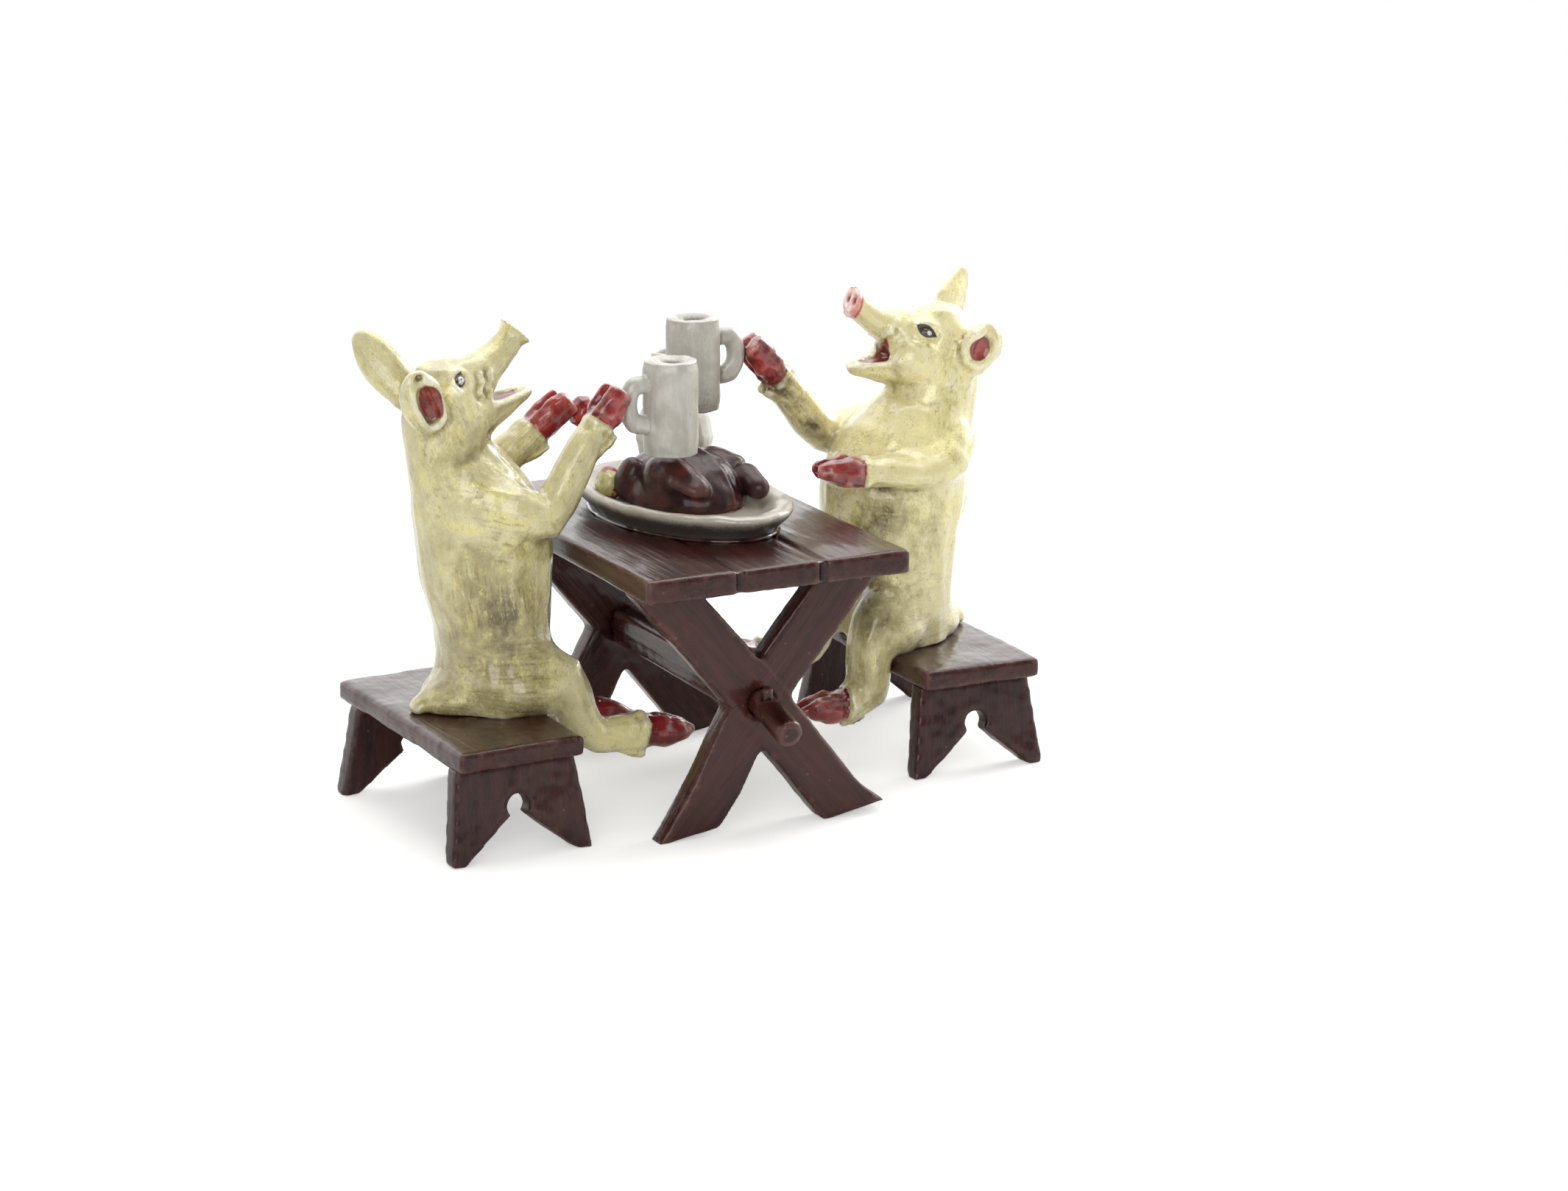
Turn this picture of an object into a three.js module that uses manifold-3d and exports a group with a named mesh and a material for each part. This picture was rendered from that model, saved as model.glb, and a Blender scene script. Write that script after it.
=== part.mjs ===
// Cold-painted bronze group: two pigs on plank benches toast each other across a trestle table
// that carries a roast on an oval platter and a jug. Millimetres, +Z up, front towards -Y.
import * as THREE from 'three';
import { mergeVertices } from 'three/addons/utils/BufferGeometryUtils.js';
import Module from 'manifold-3d';

const wasm = await Module();
wasm.setup();

// Gap between a casting and the neighbour that it was filed to fit.
const FIT = 0.3;
// A cutter stands this far past the face that it trims.
const OVERRUN = 30;
// A bore or a sloping board runs this far past the faces between which it is trimmed.
const PAST = 1;

// Table top, three planks running front to back.
const TABLE_WIDTH = 40;
const TABLE_LENGTH = 62;
const TABLE_HEIGHT = 39.6;
const TABLE_THICK = 3.4;
const PLANK_JOINTS = [-6, 6.6];
const GROOVE_WIDTH = 0.9;
const GROOVE_DEPTH = 0.7;
const EDGE_NOTCH = 0.6;

// X trestles: one board has a straight foot, the other a sabre foot that sweeps outwards.
const TRESTLE_THICK = 4;
const TRESTLE_INSET = 6;
const TRESTLE_FACE = TABLE_LENGTH / 2 - TRESTLE_INSET;
const BOARD_WIDTH = 7.6;
const CROSS_HEIGHT = 18.6;
const ARM_SPREAD = 14.6;
const ARM_LEAD = 0.3;
const SHIN_HEIGHT = 6;
const LEFT_SHIN = 6.9;
const LEFT_FOOT = 10.9;
const RIGHT_SHIN = 9.8;
const RIGHT_FOOT = 14.6;
// The board with the sabre foot lies this far behind the outer face of the other one.
const LAP_STEP = 0.5;

// Stretcher between the trestles, with round through tenons and their keys.
const STRETCHER_WIDTH = 3.2;
const STRETCHER_HEIGHT = 4.6;
const TENON_RADIUS = 1.7;
const FRONT_TENON = 9;
const REAR_TENON = 6;
const TENON_DROOP = 14;
const TENON_BEND = 0.2;
const PEG_RADIUS = 0.75;
const PEG_LENGTH = 5;
const PEG_OFFSET = 1.6;

// Benches.
const BENCH_WIDTH = 18.8;
const BENCH_LENGTH = 41.9;
const BENCH_HEIGHT = 16.4;
const SEAT_THICK = 3;
const LEG_THICK = 3.2;
const LEG_TOP_WIDTH = 17.8;
const LEG_FOOT_WIDTH = 21.2;
const FOOT_WIDTH = 2.5;
const LEG_SPLAY = 8;
const LEG_INSET = 2.6;
const KEYHOLE_HEIGHT = 7;
const KEYHOLE_RADIUS = 1.7;
const KEYHOLE_NECK = 1.25;
const LEFT_BENCH_GAP = 5.9;
const LEFT_BENCH_SHIFT = -0.9;
const LEFT_BENCH_YAW = 2.4;
const RIGHT_BENCH_GAP = 11.7;
const RIGHT_BENCH_SHIFT = 5.4;
const RIGHT_BENCH_YAW = -1.4;
const SCREW_HEAD_RADIUS = 2;
const SCREW_HEAD_HEIGHT = 1;
const SCREW_RADIUS = 1;
const SCREW_BITE = 4;
const SCREW_FORWARD = 3;

// Platter with its food, turned a little on the table.
const PLATTER_WIDTH = 25.2;
const PLATTER_LENGTH = 41.8;
const PLATTER_FOOT = 22.4;
const PLATTER_HEIGHT = 4.1;
const PLATTER_RIM = 1.5;
const PLATTER_DEPTH = 1.9;
const PLATTER_SLOPE = 2.2;
const PLATTER_CENTRE = [0.16, 0.71];
const PLATTER_YAW = 10;
// The food lies a little off the dish's middle.
const FOOD_SHIFT = [0.6, 0.9];
const ROAST_WIDTH = 16;
const ROAST_LENGTH = 22;
const ROAST_HEIGHT = 7.6;
const ROAST_CENTRE = [0.2, 0.4, 0];
// Its head, ear and hind leg, as stations of [x, y, z, half width, half depth] on the platter's floor.
const ROAST_LIMBS = [
  [
    [-4.8, -1.4, 4.4, 3, 3],
    [-4.4, -4.6, 4.3, 2.8, 2.7],
    [-3.6, -7.2, 3.8, 2, 1.9],
    [-2.9, -9.2, 3.3, 1.3, 1.2],
  ],
  [
    [-6.2, 2.8, 5.3, 1.5, 1.1],
    [-7, 3.7, 3.5, 1.8, 1.2],
    [-7.3, 4.3, 1.5, 1.7, 1.1],
  ],
  [
    [4.4, -0.4, 4.6, 2.8, 2.6],
    [6.4, -4, 4.1, 2.3, 2.2],
    [6.2, -8.2, 3.2, 1.8, 1.7],
    [5.8, -10.8, 2.7, 1.4, 1.3],
  ],
];
const GARNISH_RADIUS = 1.8;
const GARNISH_HEIGHT = 4.2;
const LEFT_GARNISH = [-7.8, 6.9];
const RIGHT_GARNISH = [9.3, -3];
const BACK_GARNISH = [8.2, 2.8];
const SLICE_RADIUS = 2.1;
const SLICE_HEIGHT = 4.9;

// Jug behind the platter.
const JUG_FROM_SIDE = 9.6;
const JUG_FROM_REAR = 6;
const JUG_FOOT = 3.4;
const JUG_BELLY = 5.9;
const JUG_NECK = 3;
const JUG_MOUTH = 3.5;
const JUG_HEIGHT = 18.6;
const JUG_BELLY_HEIGHT = 5.8;
const JUG_NECK_HEIGHT = 15;
const JUG_WALL = 0.9;
const JUG_DEPTH = 3.2;

// Mugs, held over the table by the trotters.
const MUG_RADIUS = 3.95;
const MUG_HEIGHT = 13.5;
const MUG_EDGE = 0.5;
const MUG_DIMPLE_RADIUS = 1.9;
const MUG_DIMPLE_DEPTH = 0.8;
const HANDLE_REACH = 2.8;
const HANDLE_SPAN = 5.6;
const HANDLE_RAISE = 0.8;
const HANDLE_THICK = 1.35;
const HANDLE_WIDTH = 1.2;
const LEFT_MUG_LIFT = 10.8;
const LEFT_MUG = [30.7, -5.7];
const RIGHT_MUG_LIFT = 13.2;
const RIGHT_MUG = [34.8, -3.7];
const APPLE_RADIUS = 2.05;

// Trotters: two toes with a cleft between them and two dewclaws behind.
const TOE_SPREAD = 1.15;
const TOE_RADIUS = 1.75;
const HIND_TOE = { girth: 0.4, spread: 0.7, blunt: 0.7, claw: 0.35 };
const RESTING_TOE = { girth: 0.8, spread: 0.7, blunt: 0.6, claw: -0.6 };
const GRASPING_TOE = { girth: 1.15, spread: 1, blunt: 0.3, claw: 0.35 };
const DEWCLAW_ROOT = 4;
const DEWCLAW_RADIUS = 0.85;
const DOWEL_RADIUS = 1;
const DOWEL_LENGTH = 3;

// The hollow of an ear is the ear's own form, slimmer and moved outwards, as shares of its size.
const SCOOP_OFFSET = 1.15;
const SCOOP_WIDTH = 0.85;
const SCOOP_DEPTH = 0.55;

// Heights of the pigs count from the seat; the table top stands this far above it.
const TABLE_OVER_SEAT = TABLE_HEIGHT - BENCH_HEIGHT;

// The head turns up about this point of the neck, by each pig's own angle.
const HEAD_PIVOT = [0, 42.5];
const HEAD_SNOUT = [
  [-2, 0, 44.4, 5.4, 5],
  [2.4, 0, 45.3, 4.5, 4.1],
  [6.7, 0, 47.2, 3.1, 2.45],
  [9.4, 0, 48.85, 2.4, 2],
  [10.5, 0, 49.65, 2.2, 1.9],
];
// The flat disc at its end, tilted up by each pig's own angle.
const DISC_CENTRE = [11.5, 50.4];
const DISC_WIDTH = 2.6;
const DISC_HEIGHT = 2.5;
const DISC_THICK = 1.1;
const HEAD_JAW = [
  [-1.5, 0, 41.6, 4.9, 4.8],
  [3.2, 0, 42.5, 4.2, 5.6],
  [7.2, 0, 42.2, 2.9, 3.5],
  [10.9, 0, 42, 1.5, 1.5],
];
// What is cut from above the jaw, so that two lips stand along a trough.
const HEAD_TROUGH = [
  [2.6, 0, 45.2, 6, 3.4],
  [7.2, 0, 44.1, 4.4, 2.6],
  [12.6, 0, 43.6, 2.8, 1.8],
];

// Every station of a form is [forward, sideways, up, half width, half depth].
const LEFT_PIG = {
  headPitch: 12,
  jawDrop: 0,
  discTilt: 34,
  torso: [
    [4.8, 0, -5, 8.6, 6.6],
    [5.3, 0, 4, 9.6, 7.2],
    [5.1, 0, 12.3, 8.9, 8.2],
    [4.6, 0, 19, 9.1, 9.3],
    [3.9, 0, 25, 9.2, 9.6],
    [1.7, 0, 31, 7.8, 8.2],
    [-0.8, 0, 36.5, 6, 6],
    [-1.1, 0, 42, 6, 6.1],
    [-1.4, 0, 46.6, 5, 5],
  ],
  rump: [
    [-3.6, 0, 1.5, 4, 2.6],
    [0.5, 0, 2.4, 7, 4.4],
    [6, 0, 2.6, 8, 4.4],
  ],
  tail: [
    [-2, 0, 3, 1.7, 1.5],
    [-4.6, 0.3, 1.7, 1.8, 1.4],
    [-6.5, 0.4, 0.6, 1.6, 1.1],
  ],
  frontEar: [
    [-5.2, -4.6, 42.2, 1.6, 2.4],
    [-7.5, -6.3, 45.4, 1.7, 3.1],
    [-8.4, -7, 48.3, 1.1, 2.5],
    [-8.7, -7.2, 49.6, 0.7, 1.3],
  ],
  rearEar: [
    [-4.4, 4.2, 43.6, 1.5, 2.4],
    [-6.6, 7, 47.6, 1.5, 3],
    [-8.6, 9.1, 50.8, 1, 2.3],
    [-9.6, 10, 52.2, 0.6, 1.1],
  ],
  frontLeg: [
    [2.5, -4.6, 5, 4.4, 4.8],
    [7.5, -6.2, 6, 4.2, 4.8],
    [12.2, -7.3, 4.4, 3.6, 3.6],
    [14.8, -7.3, -1.4, 3.1, 2.9],
    [18.2, -7.2, -4.9, 2.7, 2.7],
    [25.2, -7, -5.2, 2.6, 2.9],
  ],
  frontHoof: [32.8, -6.8, -6],
  rearLeg: [
    [2.5, 4.6, 5, 4.4, 4.8],
    [7.5, 6.2, 6, 4.2, 4.8],
    [12, 7.3, 4.2, 3.6, 3.6],
    [14.4, 7.4, -1.6, 3.1, 2.9],
    [17.6, 7.5, -5.4, 2.7, 2.7],
    [23.4, 7.6, -6.4, 2.5, 2.7],
  ],
  rearHoof: [30.8, 7.6, -7.4],
};

const RIGHT_PIG = {
  headPitch: 2,
  jawDrop: 5,
  discTilt: 15,
  torso: [
    [3.4, 0, -5, 8.6, 6.6],
    [3.6, 0, 4, 9.8, 7.2],
    [4, 0, 12.5, 9.8, 8.8],
    [4.5, 0, 19, 10.2, 10.8],
    [3.4, 0, 25, 10, 10.8],
    [0.3, 0, 31, 8.6, 8.7],
    [-2.2, 0, 36.3, 6.5, 6.6],
    [-2.6, 0, 42, 6.4, 6.5],
    [-2.8, 0, 46.2, 5.2, 5.2],
  ],
  rump: [
    [-4.6, -1.4, 1.5, 4, 2.6],
    [-0.5, 0, 2.4, 7, 4.4],
    [5, 0.8, 2.6, 8, 4.4],
  ],
  tail: [
    [-2.5, -1, 4.4, 1.8, 1.7],
    [-5.8, -1.4, 2.6, 1.9, 1.7],
    [-7.6, -1.6, 0.8, 1.7, 1.3],
  ],
  frontEar: [
    [-5.7, 5.4, 40.6, 1.7, 2.2],
    [-6.4, 6.9, 43.4, 1.8, 3.4],
    [-6.9, 7.6, 46, 1.3, 2.7],
    [-7.1, 7.8, 47, 0.9, 1.4],
  ],
  rearEar: [
    [-6, -3.8, 44.4, 1.4, 2.3],
    [-8.8, -6.4, 48.6, 1.3, 2.6],
    [-11.6, -8.4, 52.4, 0.5, 0.8],
  ],
  frontLeg: [
    [2, 4.6, 5, 4.4, 4.8],
    [7, 6.6, 6.4, 4.2, 4.8],
    [11.4, 8.2, 4.2, 3.6, 3.6],
    [12.4, 8.6, -1.4, 3.3, 3.5],
    [12.9, 8.7, -5.5, 3, 3.3],
    [16.6, 8.7, -7.3, 2.6, 2.7],
  ],
  frontHoof: [23.6, 8.6, -7],
  rearLeg: [
    [2, -4.6, 5, 4.4, 4.8],
    [7, -6.4, 6.4, 4.2, 4.8],
    [11.4, -7.6, 4.2, 3.6, 3.6],
    [13.4, -8, -1.2, 3.1, 2.9],
    [16.4, -8, -3.8, 2.7, 2.7],
    [23, -8, -3, 2.5, 2.7],
  ],
  rearHoof: [30.4, -8, -2.4],
};

// Heights over the table top of the forearm, wrist and hoof tip of the arms that reach over it.
const LEFT_FOREARM_RISE = 13.4;
const LEFT_WRIST_RISE = 16.6;
const LEFT_TIP_RISE = 20.6;
const RIGHT_WRIST_RISE = 16.8;
const RIGHT_TIP_RISE = 22;
const RESTING_ELBOW_RISE = 3.3;
const RESTING_FOREARM_RISE = 4.1;
const RESTING_WRIST_RISE = 4.4;
const RESTING_TIP_RISE = 5.2;

// Arms end at the wrist; the hoof runs on from there to its tip.
const LEFT_FRONT_ARM = {
  stations: [
    [0.4, -4.6, 30.6, 3.4, 4],
    [5.6, -7.4, 29, 3.3, 3.8],
    [10.2, -7.9, 27.9, 2.9, 3.2],
    [13.4, -7.4, 31.8, 2.5, 2.75],
    [16.5, -6.8, TABLE_OVER_SEAT + LEFT_FOREARM_RISE, 2.3, 2.5],
    [19.2, -6.3, TABLE_OVER_SEAT + LEFT_WRIST_RISE, 2.2, 2.3],
  ],
  hoof: [22.4, -5.9, TABLE_OVER_SEAT + LEFT_TIP_RISE],
  toe: GRASPING_TOE,
};
const LEFT_REAR_ARM = {
  stations: [
    [0.4, 4.6, 30.6, 3.4, 4],
    [4.4, 7.3, 29.6, 3.2, 3.6],
    [8.4, 7.7, 30.8, 2.9, 3.1],
    [12.2, 7.2, 34.1, 2.6, 2.7],
    [15.6, 6.8, 36.7, 2.3, 2.4],
  ],
  hoof: [20.2, 6.4, 40.6],
  toe: GRASPING_TOE,
};
const APPLE_CENTRE = [22.9, 6.2, 38.6];
const RIGHT_FRONT_ARM = {
  stations: [
    [-2.4, 5.6, 31, 3.3, 3.6],
    [-0.6, 8.8, 27.8, 2.9, 3.1],
    [4.2, 9.6, TABLE_OVER_SEAT + RESTING_ELBOW_RISE, 2.5, 2.2],
    [9.4, 9.3, TABLE_OVER_SEAT + RESTING_FOREARM_RISE, 2.4, 2.3],
    [14, 8.9, TABLE_OVER_SEAT + RESTING_WRIST_RISE, 2.3, 2.2],
  ],
  hoof: [20.3, 8.6, TABLE_OVER_SEAT + RESTING_TIP_RISE],
  toe: RESTING_TOE,
};
const RIGHT_REAR_ARM = {
  stations: [
    [-0.8, -5, 30.4, 3.4, 3.8],
    [6, -7.8, 30.4, 3.2, 3.4],
    [12, -7.5, 30, 2.9, 3.2],
    [16.8, -6.4, 35, 2.6, 2.7],
    [21, -5.2, TABLE_OVER_SEAT + RIGHT_WRIST_RISE, 2.3, 2.4],
  ],
  hoof: [25.8, -4.2, TABLE_OVER_SEAT + RIGHT_TIP_RISE],
  toe: GRASPING_TOE,
};

// Facets of the trunk, shared by the casting and by the faces that lie against it.
const TRUNK_FACETS = { sides: 16, steps: 2 };

// Paints and patinas.
const WOOD = { color: 0x3b1a17, roughness: 0.3, metalness: 0.1 };
const SKIN = { color: 0xb9b084, roughness: 0.35, metalness: 0.25 };
const PEWTER = { color: 0x9a9890, roughness: 0.45, metalness: 0.6 };
const DISH = { color: 0x6f6d66, roughness: 0.4, metalness: 0.6 };
const GLAZE = { color: 0x2d1310, roughness: 0.2, metalness: 0.05 };
const GREENS = { color: 0x8c8650, roughness: 0.45, metalness: 0.1 };
const CLAY = { color: 0xcfc6bd, roughness: 0.45, metalness: 0.1 };
const RED = { color: 0x8e1d20, roughness: 0.2, metalness: 0.05 };
const BRASS = { color: 0x9c8147, roughness: 0.45, metalness: 0.9 };

const rad = THREE.MathUtils.degToRad;

// A closed mesh as a solid: shared vertices are merged and slivers at the poles dropped.
function solid(geometry) {
  const bare = geometry.clone();
  bare.deleteAttribute('normal');
  bare.deleteAttribute('uv');
  const merged = mergeVertices(bare, 1e-4);
  const corners = merged.index.array;
  const kept = [];
  for (let i = 0; i < corners.length; i += 3) {
    const [a, b, c] = [corners[i], corners[i + 1], corners[i + 2]];
    if (a !== b && b !== c && c !== a) kept.push(a, b, c);
  }
  return new wasm.Manifold(new wasm.Mesh({
    numProp: 3,
    vertProperties: new Float32Array(merged.attributes.position.array),
    triVerts: new Uint32Array(kept),
  }));
}

function geometryOf(body) {
  const mesh = body.getMesh();
  const geometry = new THREE.BufferGeometry();
  geometry.setAttribute('position', new THREE.BufferAttribute(mesh.vertProperties, 3));
  geometry.setIndex(new THREE.BufferAttribute(mesh.triVerts, 1));
  geometry.computeVertexNormals();
  return geometry;
}

function piece(name, body, finish) {
  const mesh = new THREE.Mesh(geometryOf(body), new THREE.MeshStandardMaterial(finish));
  mesh.name = name;
  return mesh;
}

const union = (bodies) => bodies.reduce((whole, body) => whole.add(body));

// The main body of a cut piece, without the crumbs that the cut leaves.
const largest = (body) => body.decompose().sort((a, b) => b.volume() - a.volume())[0];

function block(low, high) {
  const size = high.map((value, axis) => value - low[axis]);
  const geometry = new THREE.BoxGeometry(...size);
  geometry.translate(...low.map((value, axis) => value + size[axis] / 2));
  return solid(geometry);
}

// A round bar between two points.
function bar(from, to, radius, sides = 12) {
  const start = new THREE.Vector3(...from);
  const axis = new THREE.Vector3(...to).sub(start);
  const geometry = new THREE.CylinderGeometry(radius, radius, axis.length(), sides);
  geometry.translate(0, axis.length() / 2, 0);
  const turn = new THREE.Quaternion().setFromUnitVectors(new THREE.Vector3(0, 1, 0), axis.normalize());
  geometry.applyQuaternion(turn);
  geometry.translate(...from);
  return solid(geometry);
}

function ball(centre, radii, sides = 12) {
  const geometry = new THREE.SphereGeometry(1, sides, Math.round(sides * 0.6));
  geometry.scale(...radii);
  geometry.translate(...centre);
  return solid(geometry);
}

// A turned form: the profile holds [radius, height] from the axis round to the axis.
function turned(profile, sides = 32) {
  const points = profile.map(([radius, height]) => new THREE.Vector2(radius, height));
  const geometry = new THREE.LatheGeometry(points, sides);
  geometry.rotateX(Math.PI / 2);
  return solid(geometry);
}

// A plate standing in the XZ plane, from y = low to y = low + thick.
function plate(shape, low, thick) {
  const geometry = new THREE.ExtrudeGeometry(shape, { depth: thick, bevelEnabled: false, curveSegments: 8 });
  geometry.rotateX(Math.PI / 2);
  geometry.translate(0, low + thick, 0);
  return solid(geometry);
}

// A swelling, tapering form with oval sections along a smooth spine and rounded ends.
function limb(stations, { sides = 10, steps = 2, grow = 0, blunt = 0.7, caps = [50] } = {}) {
  const centres = stations.map(([x, y, z]) => new THREE.Vector3(x, y, z));
  const sizes = stations.map(([, , , width, depth]) => new THREE.Vector3(width + grow, depth + grow, 0));
  const spine = new THREE.CatmullRomCurve3(centres);
  const girth = new THREE.CatmullRomCurve3(sizes);
  spine.curveType = 'catmullrom';
  girth.curveType = 'catmullrom';
  const rows = (stations.length - 1) * steps;
  const rings = [];
  const ring = (t, along, swell) => {
    const tangent = spine.getTangent(t);
    const side = new THREE.Vector3(0, 1, 0);
    side.addScaledVector(tangent, -side.dot(tangent)).normalize();
    const up = new THREE.Vector3().crossVectors(tangent, side);
    const size = girth.getPoint(t);
    const centre = spine.getPoint(t).addScaledVector(tangent, along * Math.min(size.x, size.y));
    const points = [];
    for (let k = 0; k < sides; k += 1) {
      const angle = (2 * Math.PI * k) / sides;
      const point = centre.clone();
      point.addScaledVector(side, Math.cos(angle) * size.x * swell);
      point.addScaledVector(up, Math.sin(angle) * size.y * swell);
      points.push(point);
    }
    return points;
  };
  for (const angle of caps) rings.push(ring(0, -blunt * Math.sin(rad(angle)), Math.cos(rad(angle))));
  for (let row = 0; row <= rows; row += 1) rings.push(ring(row / rows, 0, 1));
  for (const angle of [...caps].reverse()) {
    rings.push(ring(1, blunt * Math.sin(rad(angle)), Math.cos(rad(angle))));
  }
  const points = rings.flat();
  const pole = (t, along) => ring(t, along, 0)[0];
  const first = points.push(pole(0, -blunt)) - 1;
  const last = points.push(pole(1, blunt)) - 1;
  const faces = [];
  for (let k = 0; k < sides; k += 1) {
    const next = (k + 1) % sides;
    faces.push(first, next, k);
    for (let row = 0; row + 1 < rings.length; row += 1) {
      const [a, b] = [row * sides + k, row * sides + next];
      faces.push(a, b, a + sides, b, b + sides, a + sides);
    }
    const base = (rings.length - 1) * sides;
    faces.push(last, base + k, base + next);
  }
  const geometry = new THREE.BufferGeometry().setFromPoints(points);
  geometry.setIndex(faces);
  return solid(geometry);
}

// Table top with grooves where the planks meet.
function tableTop() {
  const half = TABLE_WIDTH / 2;
  const under = TABLE_HEIGHT - TABLE_THICK;
  const outline = new THREE.Shape();
  outline.moveTo(-half, under);
  outline.lineTo(half, under);
  outline.lineTo(half, TABLE_HEIGHT);
  for (const joint of [...PLANK_JOINTS].reverse()) {
    outline.lineTo(joint + GROOVE_WIDTH / 2, TABLE_HEIGHT);
    outline.lineTo(joint, TABLE_HEIGHT - GROOVE_DEPTH);
    outline.lineTo(joint - GROOVE_WIDTH / 2, TABLE_HEIGHT);
  }
  outline.lineTo(-half, TABLE_HEIGHT);
  outline.closePath();
  const board = plate(outline, -TABLE_LENGTH / 2, TABLE_LENGTH);
  const notches = PLANK_JOINTS.flatMap((joint) => [-1, 1].map((end) => {
    const y = (end * TABLE_LENGTH) / 2;
    return bar([joint, y, under - PAST], [joint, y, TABLE_HEIGHT + PAST], EDGE_NOTCH, 4);
  }));
  return board.subtract(union(notches));
}

// One board of a trestle: a curved centre line with the board's width on both sides of it.
function trestleBoard(side, shin, foot, low, thick) {
  const top = TABLE_HEIGHT - TABLE_THICK;
  const centre = new THREE.SplineCurve([
    new THREE.Vector2(side * ARM_SPREAD * (1 + ARM_LEAD), top + (top - CROSS_HEIGHT) * ARM_LEAD),
    new THREE.Vector2(side * ARM_SPREAD, top),
    new THREE.Vector2(0, CROSS_HEIGHT),
    new THREE.Vector2(-side * shin, SHIN_HEIGHT),
    new THREE.Vector2(-side * foot, 0),
    new THREE.Vector2(-side * (2 * foot - shin), -SHIN_HEIGHT),
  ]);
  const edges = [[], []];
  const steps = 14;
  for (let k = 0; k <= steps; k += 1) {
    const point = centre.getPoint(k / steps);
    const along = centre.getTangent(k / steps);
    const normal = new THREE.Vector2(-along.y, along.x).multiplyScalar(BOARD_WIDTH / 2);
    edges[0].push(point.clone().add(normal));
    edges[1].unshift(point.clone().sub(normal));
  }
  return plate(new THREE.Shape(edges.flat()), low, thick);
}

function trestle(outer) {
  const far = TABLE_LENGTH;
  const top = TABLE_HEIGHT - TABLE_THICK;
  const low = outer < 0 ? -TRESTLE_FACE : TRESTLE_FACE - TRESTLE_THICK;
  const lapped = outer < 0 ? low + LAP_STEP : low;
  const boards = trestleBoard(-1, RIGHT_SHIN, RIGHT_FOOT, low, TRESTLE_THICK)
    .add(trestleBoard(1, LEFT_SHIN, LEFT_FOOT, lapped, TRESTLE_THICK - LAP_STEP));
  const floor = block([-far, -far, -OVERRUN], [far, far, 0]);
  const ceiling = block([-far, -far, top], [far, far, top + OVERRUN]);
  const [mouth, end] = [low - PAST, low + TRESTLE_THICK + PAST];
  const socket = bar([0, mouth, CROSS_HEIGHT], [0, end, CROSS_HEIGHT], TENON_RADIUS + FIT);
  return boards.subtract(floor).subtract(ceiling).subtract(socket);
}

function stretcher() {
  const shoulder = TRESTLE_FACE - TRESTLE_THICK - FIT;
  const core = block(
    [-STRETCHER_WIDTH / 2, -shoulder, CROSS_HEIGHT - STRETCHER_HEIGHT / 2],
    [STRETCHER_WIDTH / 2, shoulder, CROSS_HEIGHT + STRETCHER_HEIGHT / 2],
  );
  const face = TRESTLE_FACE;
  const droop = rad(TENON_DROOP);
  const bend = [0, -face - TENON_BEND, CROSS_HEIGHT];
  const through = bar(bend, [0, face + REAR_TENON, CROSS_HEIGHT], TENON_RADIUS);
  const tip = [0, -face - FRONT_TENON * Math.cos(droop), CROSS_HEIGHT - FRONT_TENON * Math.sin(droop)];
  const front = bar([0, -face, CROSS_HEIGHT], tip, TENON_RADIUS);
  const holes = [-1, 1].map((side) => peg(side, FIT));
  return core.add(through).add(front).subtract(union(holes));
}

// The key stands upright in its tenon, close to the trestle's outer face.
function peg(side, grow = 0) {
  const y = side * (TRESTLE_FACE + PEG_OFFSET);
  const reach = PEG_LENGTH / 2 + grow;
  return bar([0, y, CROSS_HEIGHT - reach], [0, y, CROSS_HEIGHT + reach], PEG_RADIUS + grow, 8);
}

// Oval dish: a turned round dish stretched to its length. Grown inwards it clears what lies in it.
function platter(grow = 0) {
  const rim = PLATTER_WIDTH / 2;
  const lip = rim - PLATTER_RIM - grow;
  const well = lip - PLATTER_SLOPE;
  const profile = [
    [0, 0],
    [PLATTER_FOOT / 2, 0],
    [PLATTER_FOOT / 2 + 0.2, PLATTER_HEIGHT * 0.25],
    [rim - 0.4, PLATTER_HEIGHT * 0.6],
    [rim, PLATTER_HEIGHT * 0.85],
    [rim - PLATTER_RIM * 0.3, PLATTER_HEIGHT],
    [lip, PLATTER_HEIGHT * 0.96 + grow],
    [well, PLATTER_HEIGHT - PLATTER_DEPTH],
    [0, PLATTER_HEIGHT - PLATTER_DEPTH],
  ];
  const geometry = geometryOf(turned(profile, 32));
  geometry.scale(1, PLATTER_LENGTH / PLATTER_WIDTH, 1);
  return solid(geometry);
}

// Roast piglet in the platter's own frame: a humped body, a head along its front and a hind leg.
function roast(grow = 0) {
  const reach = [ROAST_WIDTH / 2 + grow, ROAST_LENGTH / 2 + grow, ROAST_HEIGHT + grow];
  const forms = [ball(ROAST_CENTRE, reach, 14)];
  for (const stations of ROAST_LIMBS) forms.push(limb(stations, { sides: 8, grow }));
  const under = block([-OVERRUN, -OVERRUN, -OVERRUN], [OVERRUN, OVERRUN, 0]);
  return union(forms).subtract(under);
}

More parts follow.
